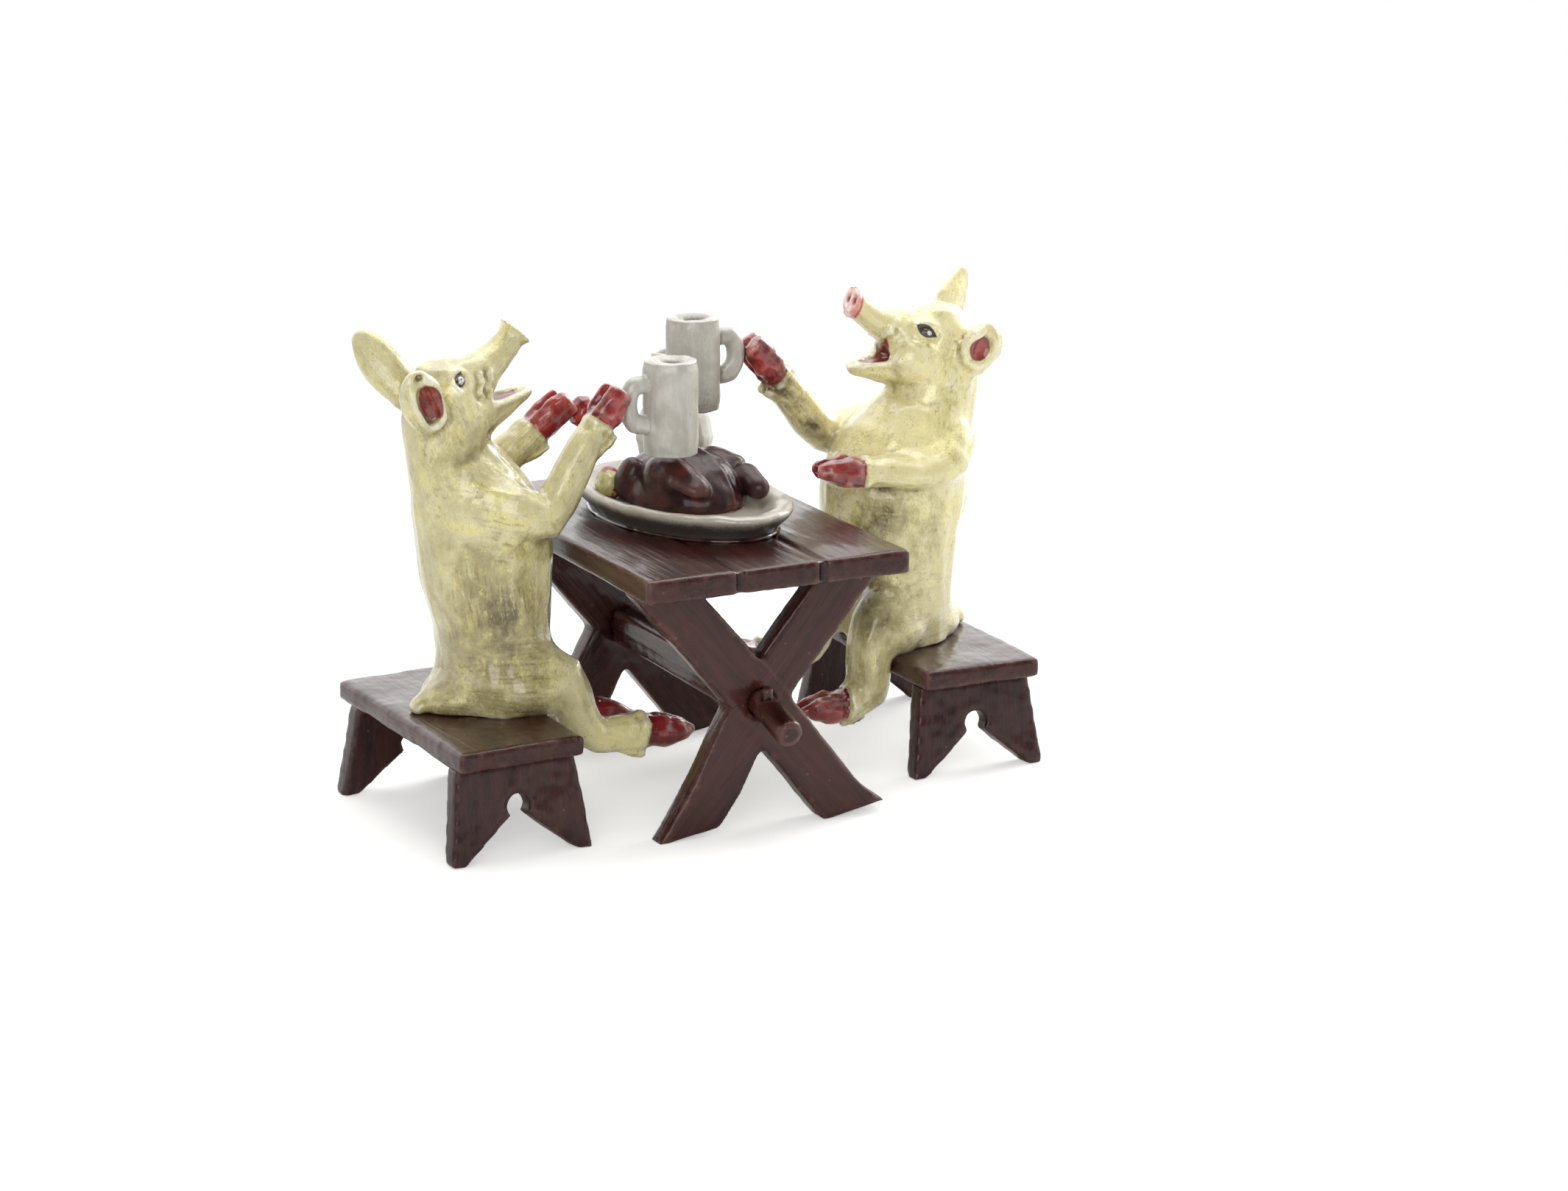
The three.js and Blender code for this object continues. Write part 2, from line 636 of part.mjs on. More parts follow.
function jug() {
  const wall = JUG_WALL;
  const mouth = JUG_HEIGHT - JUG_DEPTH;
  return turned([
    [0, 0],
    [JUG_FOOT, 0],
    [JUG_FOOT, 0.8],
    [JUG_BELLY * 0.9, JUG_BELLY_HEIGHT * 0.55],
    [JUG_BELLY, JUG_BELLY_HEIGHT],
    [JUG_BELLY * 0.9, JUG_BELLY_HEIGHT * 1.5],
    [JUG_NECK * 1.2, JUG_NECK_HEIGHT * 0.82],
    [JUG_NECK, JUG_NECK_HEIGHT],
    [JUG_MOUTH, JUG_HEIGHT - 0.8],
    [JUG_MOUTH, JUG_HEIGHT],
    [JUG_MOUTH - wall, JUG_HEIGHT],
    [JUG_NECK - wall, mouth],
    [0, mouth],
  ], 18);
}

// Mug standing on z = 0 with its handle towards -X.
function mug(grow = 0) {
  const radius = MUG_RADIUS + grow;
  const top = MUG_HEIGHT + grow;
  const vessel = turned([
    [0, -grow],
    [radius - MUG_EDGE, -grow],
    [radius, MUG_EDGE - grow],
    [radius, top - MUG_EDGE],
    [radius - MUG_EDGE, top],
    [MUG_DIMPLE_RADIUS, top],
    [MUG_DIMPLE_RADIUS * 0.6, top - MUG_DIMPLE_DEPTH],
    [0, top - MUG_DIMPLE_DEPTH],
  ], 18);
  const middle = MUG_HEIGHT / 2 + HANDLE_RAISE;
  const root = -MUG_RADIUS + HANDLE_THICK;
  const bow = -MUG_RADIUS - HANDLE_REACH;
  const handle = limb([
    [root, 0, middle + HANDLE_SPAN * 0.42, HANDLE_WIDTH, HANDLE_THICK],
    [bow + HANDLE_REACH * 0.35, 0, middle + HANDLE_SPAN * 0.5, HANDLE_WIDTH, HANDLE_THICK],
    [bow, 0, middle, HANDLE_WIDTH, HANDLE_THICK],
    [bow + HANDLE_REACH * 0.35, 0, middle - HANDLE_SPAN * 0.5, HANDLE_WIDTH, HANDLE_THICK],
    [root, 0, middle - HANDLE_SPAN * 0.5, HANDLE_WIDTH, HANDLE_THICK],
  ], { sides: 8, grow });
  return vessel.add(handle);
}

// Cloven hoof from a wrist station to a tip: two toes, and two dewclaws that lie along the heel.
function trotter(wrist, tip, toe) {
  const from = new THREE.Vector3(...wrist.slice(0, 3));
  const along = new THREE.Vector3(...tip).sub(from);
  const ahead = along.clone().normalize();
  const heel = new THREE.Vector3(along.z, 0, -along.x).normalize();
  const forms = [];
  for (const side of [-1, 1]) {
    const waist = [0.75, 0.95, (1.35 + toe.girth) / 2];
    const stations = [[-0.05, 0.8, 1.25], [0.4, 1, 1.35], waist, [1, toe.spread, toe.girth]].map(
      ([share, spread, girth]) => {
        const point = from.clone().addScaledVector(along, share);
        point.y += side * TOE_SPREAD * spread;
        return [...point, TOE_RADIUS * Math.min(girth, 0.85), TOE_RADIUS * girth];
      },
    );
    forms.push(limb(stations, { sides: 8, steps: 1, blunt: toe.blunt }));
    const claw = [[1, 0.8, 0.7], [0.5, 0.35, 1], [0.1, 0, 0.7]].map(([back, sink, girth]) => {
      const point = from.clone().addScaledVector(heel, wrist[4] + toe.claw - sink);
      point.addScaledVector(ahead, -back * DEWCLAW_ROOT);
      point.y += side * TOE_SPREAD;
      return [...point, DEWCLAW_RADIUS * girth, DEWCLAW_RADIUS * girth];
    });
    forms.push(limb(claw, { sides: 4, steps: 1 }));
  }
  return union(forms);
}

function leg(stations, tip) {
  return limb(stations).add(trotter(stations.at(-1), tip, HIND_TOE));
}

// Cupped ear with a hollow in its outer face.
function ear(stations) {
  const side = Math.sign(stations[0][1]);
  const scoop = stations.map(
    ([x, y, z, w, d]) => [x, y + side * w * SCOOP_OFFSET, z, w * SCOOP_WIDTH, d * SCOOP_DEPTH],
  );
  return limb(stations).subtract(limb(scoop, { sides: 8, blunt: 0.2 }));
}

// Turns head stations up about the pivot and moves them with the neck.
function raised(stations, pitch) {
  const [cos, sin] = [Math.cos(rad(pitch)), Math.sin(rad(pitch))];
  return stations.map(([x, y, z, w, d]) => {
    const [forward, up] = [x - HEAD_PIVOT[0], z - HEAD_PIVOT[1]];
    return [HEAD_PIVOT[0] + forward * cos - up * sin, y, HEAD_PIVOT[1] + forward * sin + up * cos, w, d];
  });
}

// The jaw hangs open from the same pivot.
function lowerJaw({ headPitch, jawDrop }) {
  const pitch = headPitch - jawDrop;
  return limb(raised(HEAD_JAW, pitch)).subtract(limb(raised(HEAD_TROUGH, pitch), { sides: 8 }));
}

// The snout's disc, spreading from its back to its face.
function snoutDisc({ headPitch, discTilt }) {
  const [x, z] = DISC_CENTRE;
  const [run, rise] = [DISC_THICK * Math.cos(rad(discTilt)), DISC_THICK * Math.sin(rad(discTilt))];
  const stations = [
    [x - run, 0, z - rise, DISC_WIDTH * 0.8, DISC_HEIGHT * 0.8],
    [x, 0, z, DISC_WIDTH, DISC_HEIGHT],
  ];
  return limb(raised(stations, headPitch), { sides: 14, steps: 1, blunt: 0.1 });
}

// Screw from under the seat into the pig; the seat's top is z = 0.
function seatScrew(grow = 0) {
  const at = (height) => [SCREW_FORWARD, 0, height];
  const shank = bar(at(-SEAT_THICK - grow), at(SCREW_BITE + grow), SCREW_RADIUS + grow);
  const head = bar(at(-SEAT_THICK - SCREW_HEAD_HEIGHT), at(-SEAT_THICK), SCREW_HEAD_RADIUS);
  return grow ? shank : shank.add(head);
}

// Dowel of an arm: from inside the arm's root into the trunk. Its socket opens through the trunk's side.
function dowel(stations, grow = 0) {
  const [x, y, z, width] = stations[1];
  const outward = Math.sign(y);
  const start = y + outward * width * (grow ? 1 : 0.4);
  const end = y - outward * (DOWEL_LENGTH + grow);
  return bar([x, start, z], [x, end, z], DOWEL_RADIUS + grow, 8);
}

function pigBody(pig, arms) {
  const trunk = limb(pig.torso, TRUNK_FACETS);
  const seat = block([-OVERRUN, -OVERRUN, -OVERRUN], [BENCH_WIDTH / 2 + FIT, OVERRUN, 0]);
  const forms = [
    trunk,
    limb(pig.rump),
    limb(pig.tail, { sides: 8 }),
    limb(raised(HEAD_SNOUT, pig.headPitch), { sides: 12, blunt: 0.12 }),
    snoutDisc(pig),
    lowerJaw(pig),
    leg(pig.frontLeg, pig.frontHoof),
    leg(pig.rearLeg, pig.rearHoof),
    ear(pig.frontEar),
    ear(pig.rearEar),
  ];
  const sockets = arms.map((arm) => dowel(arm.stations, FIT));
  const seated = largest(union(forms).subtract(seat));
  return seated.subtract(seatScrew(FIT)).subtract(union(sockets));
}

// An arm with its trotter, filed to lie against the trunk, and clear of what the trotter holds.
function pigArm(pig, arm, held) {
  const trunk = limb(pig.torso, { ...TRUNK_FACETS, grow: FIT });
  const hoof = trotter(arm.stations.at(-1), arm.hoof, arm.toe);
  const whole = limb(arm.stations).add(hoof).subtract(trunk);
  const pinned = largest(whole).add(dowel(arm.stations));
  return held ? pinned.subtract(held) : pinned;
}

// Bench leg: a board wider at its two feet, with a keyhole notch, leaning outwards along Y.
function benchLeg(side) {
  const lean = rad(LEG_SPLAY);
  const top = BENCH_HEIGHT - SEAT_THICK;
  const outline = new THREE.Shape();
  const grow = (LEG_FOOT_WIDTH - LEG_TOP_WIDTH) / 2 / top;
  const half = (height) => LEG_TOP_WIDTH / 2 + grow * (top - height);
  const neck = KEYHOLE_HEIGHT - Math.sqrt(KEYHOLE_RADIUS ** 2 - KEYHOLE_NECK ** 2);
  const arc = Math.atan2(KEYHOLE_NECK, KEYHOLE_HEIGHT - neck);
  const instep = LEG_FOOT_WIDTH / 2 - FOOT_WIDTH;
  const below = -PAST;
  const above = top + PAST;
  const flare = (instep - KEYHOLE_NECK) / neck;
  outline.moveTo(-half(above), above);
  outline.lineTo(-half(below), below);
  outline.lineTo(-instep + flare * below, below);
  outline.lineTo(-KEYHOLE_NECK, neck);
  outline.absarc(0, KEYHOLE_HEIGHT, KEYHOLE_RADIUS, -Math.PI / 2 - arc, -Math.PI / 2 + arc, true);
  outline.lineTo(instep - flare * below, below);
  outline.lineTo(half(below), below);
  outline.lineTo(half(above), above);
  outline.closePath();
  const geometry = geometryOf(plate(outline, -LEG_THICK / 2, LEG_THICK));
  geometry.translate(0, 0, -top);
  geometry.rotateX(side * lean);
  geometry.translate(0, side * (BENCH_LENGTH / 2 - LEG_INSET - LEG_THICK / 2), top);
  const far = BENCH_LENGTH;
  const floor = block([-far, -far, -OVERRUN], [far, far, 0]);
  const seat = block([-far, -far, top], [far, far, top + OVERRUN]);
  return solid(geometry).subtract(floor).subtract(seat);
}

function bench(prefix, front) {
  const low = BENCH_HEIGHT - SEAT_THICK;
  const seat = block(
    [-BENCH_WIDTH / 2, -BENCH_LENGTH / 2, low],
    [BENCH_WIDTH / 2, BENCH_LENGTH / 2, BENCH_HEIGHT],
  );
  const bore = seatScrew(FIT).translate([0, 0, BENCH_HEIGHT]);
  return [
    piece(`${prefix}_bench_seat`, seat.subtract(bore), WOOD),
    piece(`${prefix}_bench_front_leg`, benchLeg(front), WOOD),
    piece(`${prefix}_bench_rear_leg`, benchLeg(-front), WOOD),
  ];
}

// Garnish on the platter's floor, pressed between the roast and the rim: two lumps and a slice.
function garnish() {
  const [right, back] = FOOD_SHIFT;
  const rim = platter(FIT).translate([-right, -back, PLATTER_DEPTH - PLATTER_HEIGHT]);
  const keep = block([-OVERRUN, -OVERRUN, 0], [OVERRUN, OVERRUN, OVERRUN]);
  const around = roast(FIT).add(rim.intersect(keep));
  const pressed = (body) => largest(body.subtract(around).intersect(keep));
  const half = GARNISH_HEIGHT / 2;
  const lump = ([x, y]) => ball([x, y, half], [GARNISH_RADIUS, GARNISH_RADIUS, half], 8);
  const [x, y] = BACK_GARNISH;
  const slice = turned([[0, 0], [SLICE_RADIUS, 0], [SLICE_RADIUS, SLICE_HEIGHT], [0, SLICE_HEIGHT]], 12);
  return [
    piece('garnish_left', pressed(lump(LEFT_GARNISH)), GREENS),
    piece('garnish_right', pressed(lump(RIGHT_GARNISH)), GREENS),
    piece('garnish_back', pressed(slice.translate([x, y, 0])), RED),
  ];
}

function table() {
  const group = new THREE.Group();
  group.add(piece('table_top', tableTop(), WOOD));
  group.add(piece('front_trestle', trestle(-1), WOOD));
  group.add(piece('rear_trestle', trestle(1), WOOD));
  group.add(piece('stretcher', stretcher(), WOOD));
  group.add(piece('front_peg', peg(-1), WOOD));
  group.add(piece('rear_peg', peg(1), WOOD));
  const pot = piece('jug', jug(), CLAY);
  pot.position.set(TABLE_WIDTH / 2 - JUG_FROM_SIDE, TABLE_LENGTH / 2 - JUG_FROM_REAR, TABLE_HEIGHT);
  group.add(pot);
  const served = new THREE.Group();
  served.position.set(...PLATTER_CENTRE, TABLE_HEIGHT);
  served.rotation.z = rad(PLATTER_YAW);
  served.add(piece('platter', platter(), DISH));
  const food = new THREE.Group();
  food.position.set(...FOOD_SHIFT, PLATTER_HEIGHT - PLATTER_DEPTH);
  food.add(piece('roast', roast(), GLAZE), ...garnish());
  served.add(food);
  group.add(served);
  return group;
}

// A pig on its bench with a mug; local +X points to the table and the seat's top is z = 0 for the pig.
function diner(prefix, { pig, frontArm, rearArm, front, place, lift, frontHolds, rearHolds }) {
  const group = new THREE.Group();
  group.add(...bench(prefix, front));
  const seated = new THREE.Group();
  seated.position.z = BENCH_HEIGHT;
  const mugHeight = TABLE_OVER_SEAT + lift;
  const held = {
    mug: mug(FIT).translate([...place, mugHeight]),
    apple: ball(APPLE_CENTRE, Array(3).fill(APPLE_RADIUS + FIT), 10),
  };
  seated.add(piece(`${prefix}_pig_body`, pigBody(pig, [frontArm, rearArm]), SKIN));
  seated.add(piece(`${prefix}_pig_front_arm`, pigArm(pig, frontArm, held[frontHolds]), SKIN));
  seated.add(piece(`${prefix}_pig_rear_arm`, pigArm(pig, rearArm, held[rearHolds]), SKIN));
  seated.add(piece(`${prefix}_seat_screw`, seatScrew(), BRASS));
  const cup = piece(`${prefix}_mug`, mug(), PEWTER);
  cup.position.set(...place, mugHeight);
  seated.add(cup);
  group.add(seated);
  return group;
}

function leftDiner() {
  const group = diner('left', {
    pig: LEFT_PIG,
    frontArm: LEFT_FRONT_ARM,
    rearArm: LEFT_REAR_ARM,
    front: -1,
    place: LEFT_MUG,
    lift: LEFT_MUG_LIFT,
    frontHolds: 'mug',
    rearHolds: 'apple',
  });
  const apple = piece('left_apple', ball([0, 0, 0], Array(3).fill(APPLE_RADIUS), 10), RED);
  apple.position.set(APPLE_CENTRE[0], APPLE_CENTRE[1], APPLE_CENTRE[2] + BENCH_HEIGHT);
  group.add(apple);
  group.position.set(-TABLE_WIDTH / 2 - LEFT_BENCH_GAP - BENCH_WIDTH / 2, LEFT_BENCH_SHIFT, 0);
  group.rotation.z = rad(LEFT_BENCH_YAW);
  return group;
}

function rightDiner() {
  const group = diner('right', {
    pig: RIGHT_PIG,
    frontArm: RIGHT_FRONT_ARM,
    rearArm: RIGHT_REAR_ARM,
    front: 1,
    place: RIGHT_MUG,
    lift: RIGHT_MUG_LIFT,
    rearHolds: 'mug',
  });
  group.position.set(TABLE_WIDTH / 2 + RIGHT_BENCH_GAP + BENCH_WIDTH / 2, RIGHT_BENCH_SHIFT, 0);
  group.rotation.z = rad(180 + RIGHT_BENCH_YAW);
  return group;
}

// The group's origin is the middle of its footprint on the floor.
const bronze = new THREE.Group();
bronze.add(table(), leftDiner(), rightDiner());
bronze.updateMatrixWorld(true);
const middle = new THREE.Box3().setFromObject(bronze).getCenter(new THREE.Vector3());
bronze.position.set(-middle.x, -middle.y, 0);

export default bronze;
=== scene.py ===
"""Two pigs toast each other across a trestle table: looks and studio for a cold-painted bronze group."""

import logging
import math
from dataclasses import dataclass, field
from enum import Enum
from typing import Callable, Sequence, Union

import bpy
import numpy as np
from mathutils import Matrix, Vector, noise
from mathutils.bvhtree import BVHTree


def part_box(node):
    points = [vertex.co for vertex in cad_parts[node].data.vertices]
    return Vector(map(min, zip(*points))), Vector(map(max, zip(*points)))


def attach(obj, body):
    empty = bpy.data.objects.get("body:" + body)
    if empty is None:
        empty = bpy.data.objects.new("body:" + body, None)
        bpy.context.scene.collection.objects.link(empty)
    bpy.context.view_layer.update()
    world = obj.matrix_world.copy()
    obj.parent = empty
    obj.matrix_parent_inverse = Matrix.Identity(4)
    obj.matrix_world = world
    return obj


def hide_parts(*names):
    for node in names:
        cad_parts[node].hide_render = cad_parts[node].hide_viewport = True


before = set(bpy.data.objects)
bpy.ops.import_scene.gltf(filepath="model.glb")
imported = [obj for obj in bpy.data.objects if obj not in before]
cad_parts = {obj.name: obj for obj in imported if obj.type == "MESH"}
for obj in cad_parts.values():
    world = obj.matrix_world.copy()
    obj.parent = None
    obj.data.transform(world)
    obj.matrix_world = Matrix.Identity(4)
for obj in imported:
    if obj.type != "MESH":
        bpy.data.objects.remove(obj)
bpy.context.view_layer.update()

LOG = logging.getLogger("bronze")
MM = 0.001
FAR = 1e9
MIRRORS = (1, -1)
Point = tuple[float, float, float]
Pair = tuple[float, float]
Line = Sequence[Sequence[float]]
Spot = tuple[Point, float, float]
Colour = tuple[float, float, float, float]
Value = Union["Term", float, Sequence[float]]


def paint(red: int, green: int, blue: int) -> Colour:
    """Turns a screen colour into the linear colour that a shader takes.

    Args:
        red: Red from 0 to 255.
        green: Green from 0 to 255.
        blue: Blue from 0 to 255.

    Returns:
        The linear colour with full alpha.
    """
    levels = [part / 255 for part in (red, green, blue)]
    linear = [level / 12.92 if level <= 0.04045 else ((level + 0.055) / 1.055) ** 2.4 for level in levels]
    return (linear[0], linear[1], linear[2], 1.0)


def unit(vector: np.ndarray) -> np.ndarray:
    """The direction of a vector."""
    return vector / np.linalg.norm(vector)


def climb(values: np.ndarray, start: float, width: float, least: float = 0.0) -> np.ndarray:
    """Climbs to 1 over a width that begins at the start, and is never under the least share."""
    return np.clip((values - start) / width, least, 1)


def fall(values: np.ndarray, end: float, width: float) -> np.ndarray:
    """Falls from 1 to 0 over a width that closes at the end."""
    return np.clip((end - values) / width, 0, 1)


def operator(operation: str, swapped: bool = False) -> Callable[["Term", Value], "Term"]:
    """Makes a Python operator of one of Blender's Math operations.

    Args:
        operation: Blender's name of the operation.
        swapped: Whether the operator's own term comes second.

    Returns:
        The method, which adds one Math node.
    """
    def method(self: "Term", other: Value = 0.0) -> "Term":
        """Adds the node."""
        first, second = (other, self) if swapped else (self, other)
        return self.recipe.node("ShaderNodeMath", {"operation": operation}, {0: first, 1: second})

    return method


class Term:
    """A shader value that takes part in Python arithmetic."""

    __add__ = operator("ADD")
    __radd__ = operator("ADD", swapped=True)
    __sub__ = operator("SUBTRACT")
    __rsub__ = operator("SUBTRACT", swapped=True)
    __mul__ = operator("MULTIPLY")
    __rmul__ = operator("MULTIPLY", swapped=True)
    __truediv__ = operator("DIVIDE")
    __rtruediv__ = operator("DIVIDE", swapped=True)
    __pow__ = operator("POWER")
    __rpow__ = operator("POWER", swapped=True)
    __abs__ = operator("ABSOLUTE")
    most = operator("MAXIMUM")

    def __init__(self, recipe: "Recipe", socket: bpy.types.NodeSocket) -> None:
        """Keeps the socket and the recipe that it belongs to."""
        self.recipe = recipe
        self.socket = socket

    def rise(self, low: float, high: float) -> "Term":
        """Climbs smoothly from 0 at low to 1 at high, or falls where high is the smaller one.

        Args:
            low: Value at which the result is 0.
            high: Value at which the result is 1.

        Returns:
            The eased value.
        """
        if low > high:
            return 1 - self.rise(high, low)
        settings = {"interpolation_type": "SMOOTHSTEP"}
        return self.recipe.node("ShaderNodeMapRange", settings, {0: self, 1: low, 2: high, 3: 0.0, 4: 1.0})


class Recipe:
    """Builds one procedural material; feature sizes and depths are in millimetres."""

    def __init__(self, name: str) -> None:
        """Starts an empty material.

        Args:
            name: Name of the material.
        """
        self.material = bpy.data.materials.new(name)
        self.begin(self.material)
        self.place = self.vector("SCALE", self.node("ShaderNodeTexCoord", out="Object"), scale=1 / MM)

    def begin(self, owner: Union[bpy.types.Material, bpy.types.World]) -> None:
        """Empties the node tree of a material or world.

        Args:
            owner: The material or world.
        """
        owner.use_nodes = True
        self.tree = owner.node_tree
        self.tree.nodes.clear()

    def node(self, kind: str, settings: dict | None = None, sockets: dict | None = None,
             out: Union[int, str] = 0) -> Term:
        """Adds any node.

        Args:
            kind: Blender's name of the node type.
            settings: Properties of the node, set before its sockets.
            sockets: Values or terms for its inputs, by name or number.
            out: The output that is handed back.

        Returns:
            The chosen output.
        """
        made = self.tree.nodes.new(kind)
        for key, value in (settings or {}).items():
            setattr(made, key, value)
        for key, value in (sockets or {}).items():
            if isinstance(value, Term):
                self.tree.links.new(value.socket, made.inputs[key])
            else:
                made.inputs[key].default_value = value
        return Term(self, made.outputs[out])

    def vector(self, operation: str, first: Value, second: Value | None = None,
               scale: float | None = None) -> Term:
        """Adds one Vector Math node.

        Args:
            operation: Blender's name of the operation.
            first: First vector.
            second: Second vector, where the operation has one.
            scale: Number for SCALE.

        Returns:
            The result, a number for DOT_PRODUCT and LENGTH.
        """
        sockets = {key: value for key, value in ((0, first), (1, second), (3, scale)) if value is not None}
        out = 1 if operation in ("DOT_PRODUCT", "LENGTH") else 0
        return self.node("ShaderNodeVectorMath", {"operation": operation}, sockets, out)

    def grain(self, size: float, detail: float = 3.0, stretch: Point = (1, 1, 1), rough: float = 0.55,
              twist: float = 0.0, along: Term | None = None) -> Term:
        """Cloudy noise with features of about the given size.

        Args:
            size: Feature size.
            detail: Octaves.
            stretch: Factors on the coordinates; a small one draws streaks along that axis.
            rough: Weight of the fine octaves.
            twist: Distortion.
            along: Coordinates, the object's own where left out.

        Returns:
            A value about 0.5 that mostly stays between 0.25 and 0.75.
        """
        spot = self.vector("MULTIPLY", along or self.place, stretch)
        sockets = {"Vector": spot, "Scale": 1 / size, "Detail": detail, "Roughness": rough, "Distortion": twist}
        return self.node("ShaderNodeTexNoise", {}, sockets, "Fac")

    def specks(self, size: float, share: float) -> Term:
        """Small round specks, 1 inside.

        Args:
            size: Distance between specks.
            share: Radius as a share of that distance.

        Returns:
            The mask.
        """
        sockets = {"Vector": self.place, "Scale": 1 / size, "Randomness": 1.0}
        distance = self.node("ShaderNodeTexVoronoi", {"feature": "F1"}, sockets, "Distance")
        return distance.rise(share, share * 0.55)

    def pits(self, size: float) -> Term:
        """Specks that gather in some places."""
        return self.specks(size, 0.1) * self.grain(5, 2).rise(0.48, 0.6)

    def mark(self, name: str, out: str = "Fac") -> Term:
        """A number, or with out "Vector" a vector, that the mesh carries at its points."""
        return self.node("ShaderNodeAttribute", {"attribute_name": name}, out=out)

    def mix(self, factor: Value, first: Value, second: Value) -> Term:
        """Blends two colours: a factor of 0 gives the first, 1 the second."""
        settings = {"data_type": "RGBA", "clamp_factor": True}
        return self.node("ShaderNodeMix", settings, {0: factor, 6: first, 7: second}, 2)

    def coats(self, base: Term, *coats: tuple[Value, Value]) -> Term:
        """Lays coats of paint over each other.

        Args:
            base: Colour underneath.
            *coats: Cover from 0 to 1 and colour of each coat.

        Returns:
            The colour on top.
        """
        for cover, colour in coats:
            base = self.mix(cover, base, colour)
        return base

    def bump(self, height: Term, depth: float, normal: Term | None = None) -> Term:
        """Fine relief.

        Args:
            height: Height from 0 to 1.
            depth: Depth of the relief.
            normal: Relief that this one lies on.

        Returns:
            The bent normal.
        """
        sockets: dict = {"Strength": 1.0, "Distance": depth * MM, "Height": height}
        if normal is not None:
            sockets["Normal"] = normal
        return self.node("ShaderNodeBump", {}, sockets)

    def finish(self, base: Term, rough: Value, metal: Value, normal: Term, coat: Value = 0.0,
               coat_rough: float = 0.08, mirror: float = 0.5) -> bpy.types.Material:
        """Puts the surface together.

        Args:
            base: Colour.
            rough: Roughness.
            metal: Share of bare metal.
            normal: Relief.
            coat: Share of clear varnish.
            coat_rough: Roughness of the varnish.
            mirror: Strength of the paint's own gloss.

        Returns:
            The finished material.
        """
        self.output(self.node("ShaderNodeBsdfPrincipled", {}, {
            "Base Color": base, "Roughness": rough, "Metallic": metal, "Normal": normal,
            "Coat Weight": coat, "Coat Roughness": coat_rough, "Specular IOR Level": mirror,
        }))
        return self.material

    def output(self, shader: Term, kind: str = "ShaderNodeOutputMaterial") -> None:
        """Links a shader to the output."""
        target = self.tree.nodes.new(kind)
        self.tree.links.new(shader.socket, target.inputs["Surface"])

    def ray(self, kind: str) -> Term:
        """1 for light paths of the given kind."""
        return self.node("ShaderNodeLightPath", out=f"Is {kind} Ray")

    def seen(self) -> Term:
        """1 where the camera looks."""
        return self.ray("Camera").most(self.ray("Transmission"))


class Sky(Recipe):
    """Builds the light that surrounds the group."""

    def __init__(self, name: str) -> None:
        """Starts an empty world.

        Args:
            name: Name of the world.
        """
        world = bpy.context.scene.world = bpy.data.worlds.new(name)
        self.begin(world)
        self.place = self.node("ShaderNodeTexCoord", out="Generated")


@dataclass(frozen=True)
class WoodPaint:
    """Dark mahogany paint, brushed along the boards and rubbed light at the edges."""

    deep: Colour = paint(38, 14, 15)
    warm: Colour = paint(72, 34, 31)
    worn: Colour = paint(118, 80, 72)
    groove: Colour = paint(16, 7, 8)
    coat: float = 0.28
    mirror: float = 0.3

    def material(self) -> bpy.types.Material:
        """Mixes the paint.

        Returns:
            The material, which reads the grain, edge and hollow marks of a piece.
        """
        mix = Recipe("mahogany_paint")
        board = mix.mark("grain", "Vector")
        streak = mix.grain(1.1, 5, (1, 0.07, 1), 0.65, 0.6, board)
        broad = mix.grain(6, 3, (1, 0.25, 1), 0.5, 0.4, board)
        fine = mix.grain(0.35, 3, (1, 0.08, 1), 0.6, 0.0, board)
        tone = (streak * 0.7 + broad * 0.5 - 0.1).rise(0.28, 0.72)
        rub = (mix.mark("edge") * 1.2 + (mix.grain(1.6, 4) - 0.5) * 1.4).rise(0.45, 1.1)
        # Grooves and hollows go dark; on the bench legs this also paints shade.
        dark = (mix.mark("hollow") + (fine - 0.5) * 0.5).rise(0.25, 0.8)
        base = mix.coats(mix.mix(tone, self.deep, self.warm), (rub * 0.4, self.worn), (dark, self.groove),
                         (mix.specks(2.6, 0.1) * 0.5, self.worn))
        rough = 0.14 + streak * 0.2 + rub * 0.1
        relief = mix.bump(streak, 0.16, mix.bump(fine, 0.04))
        return mix.finish(base, rough, 0.0, relief, self.coat, 0.1, self.mirror)


@dataclass(frozen=True)
class Gaze:
    """How an eye is drawn, in millimetres towards the snout and up.

    The eyeball has half sizes and may have a pupil; the dark lens round it has half sizes and a middle.
    """

    half: Pair
    outline: Pair
    weight: Pair
    pupil: Pair | None = None


@dataclass(frozen=True)
class Eye:
    """Where an eye is painted: its middle and directions in the frame of the model."""

    gaze: Gaze
    centre: Point
    along: Point
    across: Point
    outward: Point


